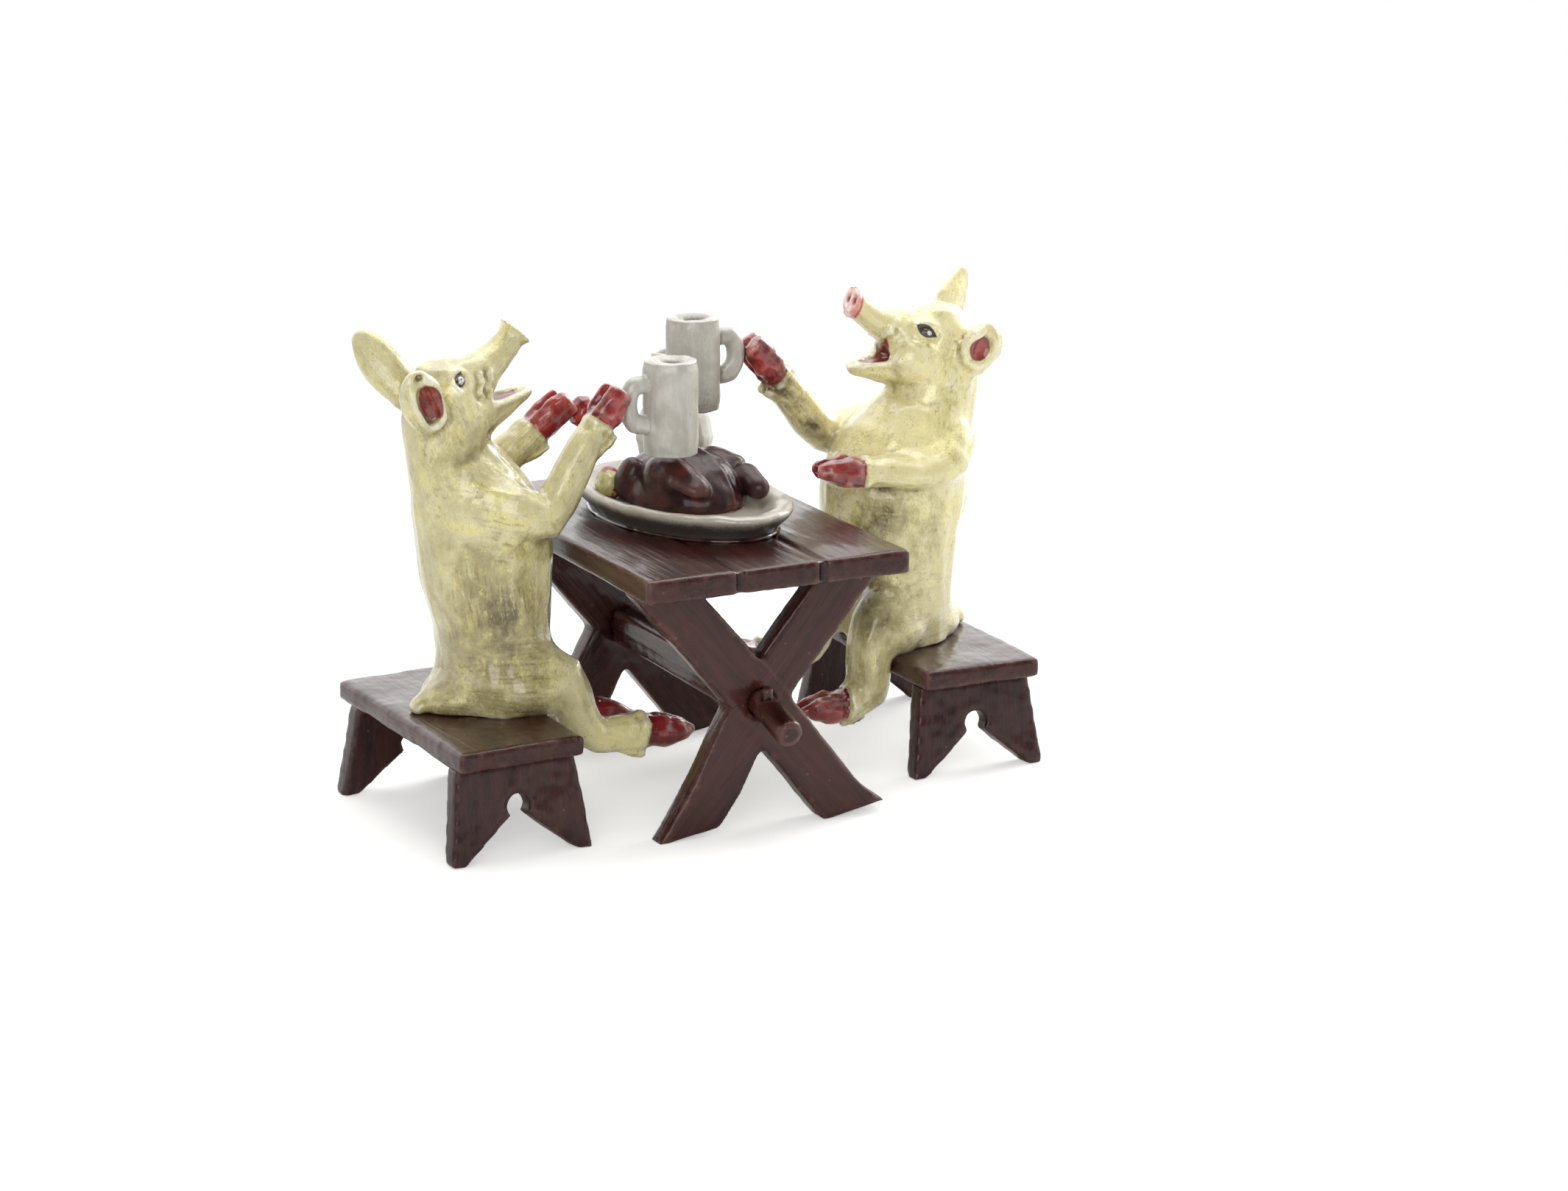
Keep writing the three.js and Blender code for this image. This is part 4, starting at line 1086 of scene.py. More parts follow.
@dataclass
class Trestle(Board):
    """An X trestle whose feet are filed so that they stand on one corner each."""

    crossing: float = 18.6
    rise: float = 17.6
    spread: float = 14.6
    outer_lift: float = 1.6
    inner_lift: float = 1.2

    def shape(self, clay: Clay) -> None:
        """Lifts the outer tip of one foot and the inner corner of the other off the floor.

        Args:
            clay: The carved trestle.
        """
        super().shape(clay)
        x, _, z = clay.points.T
        outer = climb(x, 11, 8) * self.outer_lift
        inner = climb(x, -14, 8) * self.inner_lift * (x < 0)
        clay.points[:, 2] += fall(z, 6, 6) * (outer + inner)

    def grain(self, points: np.ndarray) -> np.ndarray:
        """Gives each point the direction of the nearer of the two crossed boards.

        Args:
            points: Points of the trestle.

        Returns:
            Coordinates across, along and through the board.
        """
        x, y, z = points.T
        level = (z - self.crossing) / self.rise
        rising = np.abs(x - level * self.spread) < np.abs(x + level * self.spread)
        angle = math.atan2(self.rise, self.spread)
        side = np.where(rising, 1.0, -1.0)
        along = x * side * math.cos(angle) + z * math.sin(angle)
        across = -x * side * math.sin(angle) + z * math.cos(angle)
        return np.stack([across, along, y], 1)


@dataclass
class TableTop(Board):
    """The board of the table, whose plank joints are cut again after the rounding."""

    joints: Pair = (-6.0, 6.6)
    thick: float = 3.4

    def shape(self, clay: Clay) -> None:
        """Gives the planks brush marks along them and cuts their joints.

        Args:
            clay: The carved board.
        """
        low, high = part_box("table_top")
        half = (high.y - low.y) / 2 / MM
        rise = high.z / MM
        clay.waves(8, 0.14, 1.0)
        clay.waves(1.2, 0.05, 5.0, (1, 0.12, 1))
        for joint in self.joints:
            clay.carve([(joint, -half, rise), (joint, half, rise)], Cut.PLANK_JOINT, snap=False)
            for end in (-half, half):
                clay.carve([(joint, end, rise), (joint, end, rise - self.thick)], Cut.PLANK_END, snap=False)


@dataclass
class Table:
    """The trestle table: board, two X trestles, stretcher and keys."""

    body: str = "table_group"

    def place(self) -> Place:
        """Axes of the table: origin on the floor under the board's middle."""
        low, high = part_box("table_top")
        return Place.over(low, high, 0.0)

    def build(self, wood: bpy.types.Material) -> None:
        """Builds every board of the table.

        Args:
            wood: Wood paint.
        """
        ends = tuple(enumerate(("front", "rear")))
        boards = (
            TableTop("table_top", self.body, Lie.LONG, voxel=0.34, rounding=6),
            *(Trestle(f"{end}_trestle", self.body, Lie.UPRIGHT, voxel=0.4, rounding=6, lumps=0.18,
                      seed=3.0 + number) for number, end in ends),
            Board("stretcher", self.body, Lie.LONG, voxel=0.3, rounding=5, lumps=0.1, seed=6.0, swell=0.3),
            *(Board(f"{end}_peg", self.body, Lie.UPRIGHT, voxel=0.16, rounding=5, lumps=0.04, seed=8.0 + number,
                    swell=0.12) for number, end in ends),
        )
        for board in boards:
            board.build(self.place(), wood)


@dataclass
class Lump:
    """A small piece that needs only rounding and wear: garnish, jug or apple."""

    node: str
    body: str
    slot: str
    voxel: float
    lumps: float
    seed: float
    swell: float = 0.0
    rounding: int = 8
    melting: int = 3
    lump_size: float = 2.4

    def build(self, place: Place, finish: bpy.types.Material) -> None:
        """Casts and paints the piece.

        Args:
            place: Axes of what it lies on.
            finish: Its paint.
        """
        clay = Clay.cast(f"{self.node}_painted", [self.node], self.voxel, place)
        clay.smooth(self.rounding)
        clay.smooth(self.melting, keep=False)
        clay.puff(self.swell)
        clay.waves(self.lump_size, self.lumps, self.seed)
        clay.mark("hollow", clay.wear())
        clay.deliver(self.body, self.slot, finish, [self.node])


@dataclass
class Feast:
    """What stands on the table: platter, roast, garnish and jug."""

    palette: Palette
    body: str = "table_group"
    yaw: float = math.radians(10)
    half_width: float = 12.6
    half_length: float = 20.9
    ripple: float = 0.2
    tuck: float = 0.065
    tuck_height: float = 2.8
    foot: float = 10.5
    bead_radius: float = 0.42
    well: float = 2.2
    gravy_half: Point = (7.2, 9.9, 0.5)
    gravy_shift: float = 0.9
    snout: tuple[Point, ...] = ((-5.3, -6.0, 6.8), (-4.5, -7.2, 6.3), (-3.7, -8.4, 5.7))
    ridge: tuple[Point, ...] = ((2.2, -1.2, 9.3), (2.0, -4.7, 8.2), (2.2, -7.4, 6.3), (2.2, -9.3, 2.7))

    def place(self) -> Place:
        """Axes of the platter: origin at its foot."""
        low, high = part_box("platter")
        return Place.over(low, high, low.z, self.yaw)

    def build(self) -> None:
        """Builds the dishes and the food."""
        self.platter()
        self.roast()
        self.bead()
        self.gravy()
        for seed, (node, slot, finish, swell) in enumerate((
            ("garnish_left", "greens_paint", self.palette.greens, 0.5),
            ("garnish_right", "greens_paint", self.palette.greens, 0.2),
            ("garnish_back", "red_paint", self.palette.red, 0.2),
        )):
            garnish = Lump(node, self.body, slot, voxel=0.16, lumps=0.2, seed=2.0 + seed, swell=swell)
            garnish.build(self.place(), finish)
        jug = Lump("jug", self.body, "clay_paint", voxel=0.3, lumps=0.16, seed=9.0)
        jug.build(self.place(), self.palette.clay)

    def platter(self) -> None:
        """Casts the dish, tucks in its foot and gives its rim the waves of hand work."""
        clay = Clay.cast("platter_painted", ["platter"], 0.3, self.place())
        clay.smooth(10)
        clay.smooth(3, keep=False)
        clay.points[:, :2] *= 1 - self.tuck * fall(clay.points[:, 2:], self.tuck_height, self.tuck_height)
        x, y, z = clay.points.T
        turn = np.arctan2(y / self.half_length, x / self.half_width)
        out = np.hypot(x / self.half_width, y / self.half_length)
        rim = climb(z, 1.5, 2.4) * climb(out, 0.72, 0.2)
        wave = np.sin(turn * 5 + 0.6) * 0.5 + np.sin(turn * 9 + 2.0) * 0.3 + np.sin(turn * 17) * 0.25
        clay.points[:, 2] += rim * wave * self.ripple
        clay.waves(3, 0.12, 4.0)
        # Painted shade: the lower outward-facing side of the dish, under the rim, goes dark.
        normals = clay.normals()
        radial = np.stack([x / self.half_width ** 2, y / self.half_length ** 2], 1)
        radial /= np.maximum(np.linalg.norm(radial, axis=1), 1e-6)[:, None]
        outside = climb((normals[:, :2] * radial).sum(1), 0.125, 0.625)
        clay.mark("hollow", clay.wear(5) + outside * fall(z, 3.9, 2.4) * 1.3)
        clay.deliver(self.body, "dish_paint", self.palette.dish, ["platter"])

    def roast(self) -> None:
        """Casts the roast and gives it swellings, skin folds and the edge and hollow marks of its glaze."""
        clay = Clay.cast("roast_painted", ["roast"], 0.24, self.place())
        clay.smooth(60)
        clay.smooth(24, keep=False)
        clay.puff(0.35)
        clay.waves(5, 0.2, 12.0)
        clay.waves(1.8, 0.09, 15.0)
        clay.carve([(x, y, z - 1.5) for x, y, z in self.snout], Cut.ROAST_CHIN)
        clay.carve(self.snout, Cut.ROAST_SNOUT)
        clay.carve(self.ridge, Cut.ROAST_RIDGE)
        clay.carve([(x + 1.2, y, z) for x, y, z in self.ridge], Cut.ROAST_FURROW)
        clay.mark("hollow", clay.wear(5))
        clay.deliver(self.body, "glaze_paint", self.palette.glaze, ["roast"])

    def bead(self) -> None:
        """Lays the bead of pooled varnish round the foot of the platter."""
        bpy.ops.object.select_all(action="DESELECT")
        bpy.ops.mesh.primitive_torus_add(major_segments=160, minor_segments=12, major_radius=self.foot * MM,
                                         minor_radius=self.bead_radius * MM)
        bpy.ops.object.mode_set(mode="EDIT")
        bpy.ops.mesh.select_all(action="SELECT")
        bpy.ops.mesh.normals_make_consistent(inside=False)
        bpy.ops.object.mode_set(mode="OBJECT")
        clay = Clay(bpy.context.object, Place())
        clay.points[:, 1] *= self.half_length / self.half_width
        clay.points[:, 2] = np.maximum(clay.points[:, 2], -0.06) + 0.06
        clay.waves(1.7, 0.16, 21.0)
        clay.waves(5, 0.14, 27.0)
        clay.points[:, 2] = np.maximum(clay.points[:, 2], 0.0)
        self.pool(clay, "varnish_bead", 0.0)

    def gravy(self) -> None:
        """Pours the thin pool of glaze round the roast."""
        low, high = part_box("roast")
        middle = self.place().into(np.array([(low + high) / 2]))[0]
        bpy.ops.object.select_all(action="DESELECT")
        bpy.ops.mesh.primitive_uv_sphere_add(segments=96, ring_count=24, radius=MM)
        bpy.ops.object.mode_set(mode="EDIT")
        bpy.ops.mesh.select_all(action="SELECT")
        bpy.ops.transform.resize(value=self.gravy_half)
        bpy.ops.object.mode_set(mode="OBJECT")
        clay = Clay(bpy.context.object, Place())
        turn = np.arctan2(clay.points[:, 1], clay.points[:, 0])
        lobes = 1 + 0.07 * np.sin(turn * 5 + 1.0) + 0.05 * np.sin(turn * 9 + 2.2) + 0.03 * np.sin(turn * 15)
        clay.points[:, :2] *= lobes[:, None]
        clay.points += np.array([middle[0], middle[1] - self.gravy_shift, self.well + 0.05])
        clay.waves(1.4, 0.22, 33.0)
        self.pool(clay, "roast_gravy", 0.3)

    def pool(self, clay: Clay, name: str, hollow: float) -> None:
        """Sets a paint-only piece, shaped about the middle of the platter, in its place.

        Args:
            clay: The piece.
            name: Its name.
            hollow: Its hollow mark.
        """
        clay.piece.name = clay.piece.data.name = name
        clay.place = self.place()
        clay.mark("hollow", np.full(clay.count, hollow))
        clay.mark("edge", np.zeros(clay.count))
        clay.deliver(self.body, "glaze_paint", self.palette.varnish)


class Side(Enum):
    """The two diners."""

    LEFT = "left"
    RIGHT = "right"

    def node(self, part: str) -> str:
        """The diner's own name for a part."""
        return f"{self.value}_{part}"

    def pick(self, left: float, right: float) -> float:
        """The value of the diner's side."""
        return left if self is Side.LEFT else right


@dataclass
class Bench:
    """A plank bench: seat and two splayed legs."""

    side: Side
    # Painted shade on the bench legs under the seat.
    leg_painted_shade: float = 0.4

    def place(self) -> Place:
        """Axes of the diner: origin at the middle of the seat's top, forward towards the table."""
        low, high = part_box(self.side.node("bench_seat"))
        return Place.over(low, high, high.z, math.radians(self.side.pick(2.4, 178.6)))

    def build(self, wood: bpy.types.Material) -> None:
        """Builds seat and legs.

        Args:
            wood: Wood paint.
        """
        body, seed = self.side.node("diner"), self.side.pick(20.0, 40.0)
        seat = Board(self.side.node("bench_seat"), body, Lie.LONG, rounding=8, lumps=0.18, seed=seed)
        seat.build(self.place(), wood)
        for step, part in enumerate(("bench_front_leg", "bench_rear_leg")):
            leg = Board(self.side.node(part), body, Lie.UPRIGHT, seed=seed + 4 + step, painted_shade=self.leg_painted_shade)
            leg.build(self.place(), wood)


@dataclass
class Tankard:
    """A mug with a loop handle, soldered to a trotter, darkened all over, and with painted shade towards its
    foot.
    """

    side: Side
    solder: Point
    stain_and_shade: float
    painted_foot_shade: float
    levels: int = 15

    def build(self, place: Place, pewter: bpy.types.Material) -> None:
        """Casts and paints the mug.

        Args:
            place: Axes of the diner.
            pewter: Mug paint.
        """
        node = self.side.node("mug")
        clay = Clay.cast(f"{node}_painted", [node], 0.22, place)
        top = clay.points[:, 2].max()
        face = clay.points[:, 2] > top - 0.5
        middle = clay.points[face, :2].mean(0)
        away = np.linalg.norm(clay.points[:, :2] - middle, axis=1)
        wide = away[face].max()
        loop = climb(away - wide, 0.3, 0.6)
        clay.smooth(12)
        self.true_up(clay, middle, away, (loop == 0) & (away > wide * 0.86))
        clay.smooth(26, loop, keep=False)
        clay.puff(0.16 * loop)
        clay.smooth(4, keep=False)
        seed = self.side.pick(50.0, 60.0)
        clay.waves(4, 0.1, seed)
        clay.waves(1.3, 0.05, seed + 3)
        clay.carve([self.solder], Cut.SOLDER)
        dimple = fall(away / wide, 0.7, 0.3) * climb(clay.points[:, 2] - top, -3, 1)
        clay.points[:, 2] -= 0.5 * dimple
        brim = climb(clay.points[:, 2] - top, -1.4, 1)
        clay.waves(2.2, 0.14 * brim, seed + 9)
        # Painted shade: the mug goes darker towards its foot, and the dimple on top is darkened.
        foot = fall(clay.points[:, 2], top - 8, 6)
        clay.mark("hollow", clay.wear(5) + dimple * 0.5 + (self.stain_and_shade + foot * self.painted_foot_shade))
        clay.deliver(self.side.node("diner"), "pewter_paint", pewter, [node])

    def true_up(self, clay: Clay, middle: np.ndarray, away: np.ndarray, wall: np.ndarray) -> None:
        """Turns the wall of the mug round.

        Args:
            clay: The mug.
            middle: Its axis.
            away: Distance of each point from the axis before the rounding.
            wall: Which points belong to the wall.
        """
        heights = clay.points[:, 2]
        levels = np.linspace(heights[wall].min(), heights[wall].max(), self.levels)
        middles = (levels[:-1] + levels[1:]) / 2
        means = [away[wall & (heights >= low) & (heights <= high)].mean()
                 for low, high in zip(levels, levels[1:])]
        share = np.interp(heights[wall], middles, means) / away[wall]
        clay.points[wall, :2] = middle + (clay.points[wall, :2] - middle) * share[:, None]


@dataclass(frozen=True)
class Hoof:
    """A trotter from the wrist to the tip, with the half depth of the wrist."""

    wrist: Point
    tip: Point
    depth: float
    claw_side: float = 1.15

    def axes(self) -> tuple[np.ndarray, np.ndarray, float]:
        """The wrist, the direction of the hoof and its length."""
        wrist, way = np.array(self.wrist), np.array(self.tip) - np.array(self.wrist)
        return wrist, unit(way), float(np.linalg.norm(way))

    def measure(self, points: np.ndarray) -> tuple[np.ndarray, np.ndarray]:
        """Measures where points lie on the hoof.

        Args:
            points: Points of the pig.

        Returns:
            Their distances along the hoof from the wrist, and away from its axis.
        """
        wrist, axis, _ = self.axes()
        share = (points - wrist) @ axis
        return share, np.linalg.norm(points - wrist - share[:, None] * axis, axis=1)

    def claws(self) -> list[Line]:
        """Finds the two dewclaws that lie along the heel.

        Returns:
            Their lines from root to tip.
        """
        wrist, ahead, _ = self.axes()
        heel = unit(np.array([ahead[2], 0, -ahead[0]]))
        return [[wrist - ahead * back + heel * (self.depth + stand) + np.array([0, self.claw_side * side, 0])
                 for back, stand in ((3.0, 0.0), (0.4, 0.35))] for side in (-1, 1)]


@dataclass(frozen=True)
class Ear:
    """An ear: its line from root to tip, and the middle and half sizes of its hollow."""

    line: tuple[Point, ...]
    hollow: Point
    half: Pair
    rim_wider: float = 0.75
    rim_height: float = 0.6

    def axes(self) -> tuple[np.ndarray, np.ndarray, np.ndarray]:
        """Finds the ear's own directions.

        Returns:
            Up along it, outward and ahead.
        """
        up = unit(np.array(self.line[-1]) - np.array(self.line[0]))
        outward = np.array([0.0, np.sign(self.line[1][1]), 0.0])
        outward = unit(outward - up * (outward @ up))
        return up, outward, np.cross(outward, up)

    def oval(self, points: np.ndarray) -> np.ndarray:
        """Measures how far points lie from the middle of the hollow.

        Args:
            points: Points of the pig.

        Returns:
            Their distances, 1 at its edge.
        """
        up, _, ahead = self.axes()
        away = points - np.array(self.hollow)
        return np.hypot(away @ up / self.half[0], away @ ahead / self.half[1])

    def height(self, points: np.ndarray) -> np.ndarray:
        """Distance of points from the plane of the hollow."""
        return np.abs((points - np.array(self.hollow)) @ self.axes()[1])

    def ring(self) -> Line:
        """Draws the rim round the hollow.

        Returns:
            Its corners.
        """
        up, outward, ahead = self.axes()
        long, wide = (half + self.rim_wider for half in self.half)
        return [np.array(self.hollow) + up * long * math.cos(turn) + ahead * wide * math.sin(turn)
                + outward * self.rim_height for turn in np.linspace(0, 2 * math.pi, 25)]


@dataclass
class Pig:
    """One pig: body and arms in one painted skin, carved and marked for its colours.

    Stain and shade spots have a middle, a size and an amount: a positive amount lays olive stain that is partly
    painted shade, a negative one paints light. Dents have a middle, a half width and a depth, pads of wax a
    middle and half sizes, and fills a middle and a size. Angles are in degrees, the rest in the diner's
    millimetres.
    """

    side: Side
    pitch: float
    disc_tilt: float
    jaw_drop: float
    hooves: tuple[Hoof, ...]
    ears: tuple[Ear, ...]
    eye: Point
    eye_ends: tuple[Point, Point]
    gaze: Gaze
    blush: float
    grime: float
    tones: tuple[Colour, Colour]
    folds: tuple[Line, ...]
    creases: tuple[Line, ...]
    lips: tuple[Line, ...]
    limbs: tuple[Line, ...]
    stain_and_shade_spots: tuple[Spot, ...]
    dents: tuple[Spot, ...]
    pads: tuple[tuple[Point, Point], ...]
    fills: tuple[tuple[Point, float], ...]
    pivot: Pair = (0.0, 42.5)
    snout_end: Point = (11.5, 0.0, 50.4)
    jaw_end: Point = (11.4, 0.0, 42.0)
    mouth_root: Point = (4.2, 0.0, 42.6)
    mouth_along: Sequence[float] = (1.5, 3.2, 7.2, 10.4, 11.4)
    mouth_half: Sequence[float] = (3.4, 3.0, 1.9, 0.8, 0.1)
    voxel: float = 0.3
    seal: float = 0.26
    eyes: list[Eye] = field(default_factory=list)

    def lifted(self, spot: Point, drop: float = 0.0) -> np.ndarray:
        """Turns a point of the level head up with it.

        Args:
            spot: The point.
            drop: Angle by which the jaw drops, for a point on it.

        Returns:
            The turned point.
        """
        turn = math.radians(self.pitch - drop)
        ahead, up = spot[0] - self.pivot[0], spot[2] - self.pivot[1]
        return np.array([
            self.pivot[0] + ahead * math.cos(turn) - up * math.sin(turn), spot[1],
            self.pivot[1] + ahead * math.sin(turn) + up * math.cos(turn),
        ])

    def disc(self) -> tuple[np.ndarray, np.ndarray, np.ndarray]:
        """Finds the snout's disc.

        Returns:
            Its middle, the way that it faces and its upward direction.
        """
        turn = math.radians(self.pitch + self.disc_tilt)
        axis = np.array([math.cos(turn), 0, math.sin(turn)])
        return self.lifted(self.snout_end), axis, np.array([-axis[2], 0, axis[0]])

    def nostrils(self) -> list[np.ndarray]:
        """Middles of the two nostrils."""
        tip, _, up = self.disc()
        return [tip + np.array([0, 1.0 * flip, 0]) + up * 0.25 for flip in MIRRORS]

    def build(self, place: Place) -> None:
        """Casts, carves, marks and paints the pig.

        Args:
            place: Axes of the diner.
        """
        nodes = [self.side.node(f"pig_{part}") for part in ("body", "front_arm", "rear_arm")]
        clay = Clay.cast(self.side.node("pig_painted"), nodes, self.voxel, place, self.seal, self.pads)
        self.round(clay)
        self.face(clay)
        self.trotters(clay)
        self.roughen(clay)
        self.marks(clay)
        skin = SkinPaint(self.side.node("pig_skin"), tuple(self.eyes), self.blush, self.grime, *self.tones)
        clay.deliver(self.side.node("diner"), "pig_paint", skin.material(), nodes)

    def round(self, clay: Clay) -> None:
        """Melts the solids into one flowing form, with less on hooves, ears and lips.

        Args:
            clay: The pig.
        """
        jaw = [self.lifted(spot, self.jaw_drop) for spot in (self.mouth_root, self.jaw_end)]
        limits = [climb(clay.reach(jaw), 1.5, 3, 0.12),
                  climb(clay.away(self.lifted(self.snout_end)), 2.6, 3, 0.03)]
        for hoof in self.hooves:
            limits.append(climb(clay.reach([hoof.wrist, hoof.tip]), 2.8, 3, 0.42))
            limits += [climb(clay.reach(line), 1.0, 1.5, 0.1) for line in hoof.claws()]
        limits += [climb(clay.reach(ear.line[1:]), 2.2, 3, 0.14) for ear in self.ears]
        firm = clay.spread(np.minimum.reduce(limits), 4)
        clay.smooth(5)
        clay.smooth(70, firm)
        clay.smooth(10, firm, keep=False)
        clay.puff(0.1 * firm)
        x, _, z = clay.points.T
        wax = fall(z, 16, 4) * climb(z, -1.5, 3) * fall(x, 18, 4)
        for spot, size in self.fills:
            wax = np.maximum(wax, fall(clay.away(spot), size, size * 0.4))
        clay.fill(200, wax)

    def face(self, clay: Clay) -> None:
        """Carves eyes, lids, cheek folds, lips, nostrils, ears and the crease under the jaw.

        Args:
            clay: The pig.
        """
        for flip in MIRRORS:
            mirror = np.array([1, flip, 1])
            for fold in self.folds:
                clay.carve(np.array(fold) * mirror, Cut.CHEEK_FOLD)
                clay.carve((np.array(fold) + np.array([0.8, 0, 0])) * mirror, Cut.CHEEK_SWELL)
            for crease in self.creases:
                clay.carve(np.array(crease) * mirror, Cut.CREASE)
            for lip in self.lips:
                clay.carve([self.lifted(spot, self.jaw_drop) * mirror for spot in lip], Cut.LIP)
            self.carve_eye(clay, mirror)
        for spot, size, depth in self.dents:
            clay.carve([spot], (size, depth))
        up = self.disc()[2]
        for spot in self.nostrils():
            clay.carve([spot - up * 0.3, spot + up * 0.3], Cut.NOSTRIL)
        for ear in self.ears:
            near = fall(ear.height(clay.points), 3.2, 1) * climb(clay.normals() @ ear.axes()[1], 0, 1 / 3)
            clay.puff(near * -0.55 * np.exp(-(ear.oval(clay.points) / 0.85) ** 4))
            clay.carve(ear.ring(), Cut.EAR_RIM)

    def carve_eye(self, clay: Clay, mirror: np.ndarray) -> None:
        """Raises an eyeball between lids and notes where its paint goes.

        Args:
            clay: The pig.
            mirror: Factors that take a spot of the near cheek to the cheek at work.
        """
        centre = clay.snap(np.array(self.eye) * mirror)
        rear, front = (np.array(end) * mirror for end in self.eye_ends)
        normal = clay.normals()[int(np.argmin(((clay.points - centre) ** 2).sum(1)))]
        along = front - rear
        along = unit(along - normal * (along @ normal))
        across = np.cross(normal, along)
        if across[2] < 0:
            across = -across
        width, height = self.gaze.half
        long, tall = self.gaze.outline

        def arc(ahead: float, above: float, start: float, end: float, corners: int) -> Line:
            """Corners of an arc round the eye, between two angles."""
            return [centre + along * ahead * math.cos(turn) + across * above * math.sin(turn)
                    for turn in np.linspace(start, end, corners)]

        clay.carve(arc(long * 0.85, tall * 0.9, 0, 2 * math.pi, 25), Cut.EYELID)
        clay.carve(arc(long + 0.3, tall + 0.5, 0.1, math.pi - 0.1, 13), Cut.BROW)
        clay.carve([centre - along * width * 0.4, centre + along * width * 0.4], (height * 1.6, -0.25))
        aims = [tuple(clay.place.aim(way)) for way in (along, across, normal)]
        middle = clay.place.aim(centre) + np.array(clay.place.origin) / MM
        self.eyes.append(Eye(self.gaze, tuple(middle), *aims))

    def trotters(self, clay: Clay) -> None:
        """Cuts the clefts and lifts the cuff of skin above each hoof.

        Args:
            clay: The pig.
        """
        for hoof in self.hooves:
            wrist, axis, length = hoof.axes()
            top = np.array([-axis[2], 0, axis[0]])
            for side in MIRRORS:
                clay.carve([wrist + axis * length * share + top * side * lift for share, lift in
                            ((0.35, 2.6), (0.7, 2.2), (1.0, 1.2), (1.12, 0.0))], Cut.CLEFT)
            share, gap = hoof.measure(clay.points)
            near = fall(gap, 4.6, 0.8)
            clay.puff(0.14 * near * np.exp(-((share + 0.6) / 0.7) ** 2))
            clay.puff(-0.22 * near * np.exp(-((share - 0.2) / 0.45) ** 2))

    def roughen(self, clay: Clay) -> None:
        """Gives the skin lumps, most of them at the hooves, and ragged edges at the small stain and shade
        spots.

        Args:
            clay: The pig.
        """
        seed = self.side.pick(70.0, 90.0)
        soft = np.minimum.reduce([climb(clay.reach([hoof.wrist, hoof.tip]), 2.6, 2, 0.35)
                                  for hoof in self.hooves])
        clay.waves(1.7, 0.3 * fall(soft, 1, 2 / 3), seed + 21)
        clay.waves(4.5, 0.22 * soft, seed, (1, 1, 0.7))
        clay.waves(1.5, 0.08, seed + 7, (1, 1, 0.5))
        for spot, size, _ in self.stain_and_shade_spots:
            if size < 3:
                clay.waves(1.0, 0.22 * clay.around(spot, size), seed + 15)
        clay.smooth(1, 0.5 * soft, keep=False)

    def marks(self, clay: Clay) -> None:
        """Stores the marks for hoof lacquer, flesh and nose, and the hollow mark: the olive wash with painted
        shade from occlusion, undersides and the low body, and painted light at negative spots.

        Args:
            clay: The pig.
        """
        normals = clay.normals()
        measures = [hoof.measure(clay.points) for hoof in self.hooves]
        clay.mark("hoof", np.maximum.reduce([np.minimum(share, 4.2 - gap) for share, gap in measures]))
        clay.mark("flesh", np.maximum(self.ear_flesh(clay, normals), self.mouth_flesh(clay, normals)))
        tip, axis, up = self.disc()
        ahead = (clay.points - tip) @ axis
        off = np.linalg.norm(clay.points - tip - ahead[:, None] * axis, axis=1)
        clay.mark("nose", np.minimum(ahead + 0.55, 3.6 - off))
        ways = [clay.points - spot for spot in self.nostrils()]
        holes = np.minimum.reduce([np.hypot(way @ up / 1.5, np.abs(way[:, 1])) for way in ways])
        clay.mark("nostril", fall(holes + np.abs(ahead) * 0.1, 0.52, 0.25))
        grain, calm = clay.follow([*self.limbs, *((ear.line[0], ear.line[-1]) for ear in self.ears)])
        clay.mark("grain", grain)
        clay.mark("calm", calm)
        # Painted shade: the hollow mark grows where the pig covers itself, on surfaces that face down and low
        # on the body.
        low = fall(clay.points[:, 2], 12, 20) * fall(clay.points[:, 0], 14, 4)
        wash_and_shade = clay.wear(3, 7.0) * 0.8 + clay.shelter() * 0.62 + fall(normals[:, 2], 0, 1) * 0.12 + low * 0.12
        # Spots with a positive amount add stain and painted shade; those with a negative amount paint light.
        for spot, size, amount in self.stain_and_shade_spots:
            wash_and_shade += amount * clay.around(spot, size)
        clay.mark("hollow", wash_and_shade)

    def ear_flesh(self, clay: Clay, normals: np.ndarray) -> np.ndarray:
        """Mark of the red hollows of the ears.

        Args:
            clay: The pig.
            normals: Outward directions.

        Returns:
            Distance inside the hollow's edge in millimetres.
        """
        return np.maximum.reduce([np.minimum.reduce([
            (1 - ear.oval(clay.points)) * ear.half[1],
            (normals @ ear.axes()[1] - 0.05) * 3,
            2.6 - ear.height(clay.points),
        ]) for ear in self.ears])

    def mouth_flesh(self, clay: Clay, normals: np.ndarray) -> np.ndarray:
        """Mark of the red inside of the mouth.

        Args:
            clay: The pig.
            normals: Outward directions.

        Returns:
            Distance inside the lips in millimetres.
        """
        turn = math.radians(self.pitch - self.jaw_drop)
        ahead = np.array([math.cos(turn), 0, math.sin(turn)])
        up = np.array([-math.sin(turn), 0, math.cos(turn)])
        away = clay.points - self.lifted((0, 0, 42.5), self.jaw_drop)
        x, z = away @ ahead, away @ up
        inside = np.interp(x, self.mouth_along, self.mouth_half) - np.abs(clay.points[:, 1])
        facing = np.where(z > 0.4, 6.6 - x, (normals @ up + 0.05) * 2)
        return np.minimum.reduce([inside, facing, x - 1.6, 9.8 - x, 3.4 - np.abs(z - 1.6)])


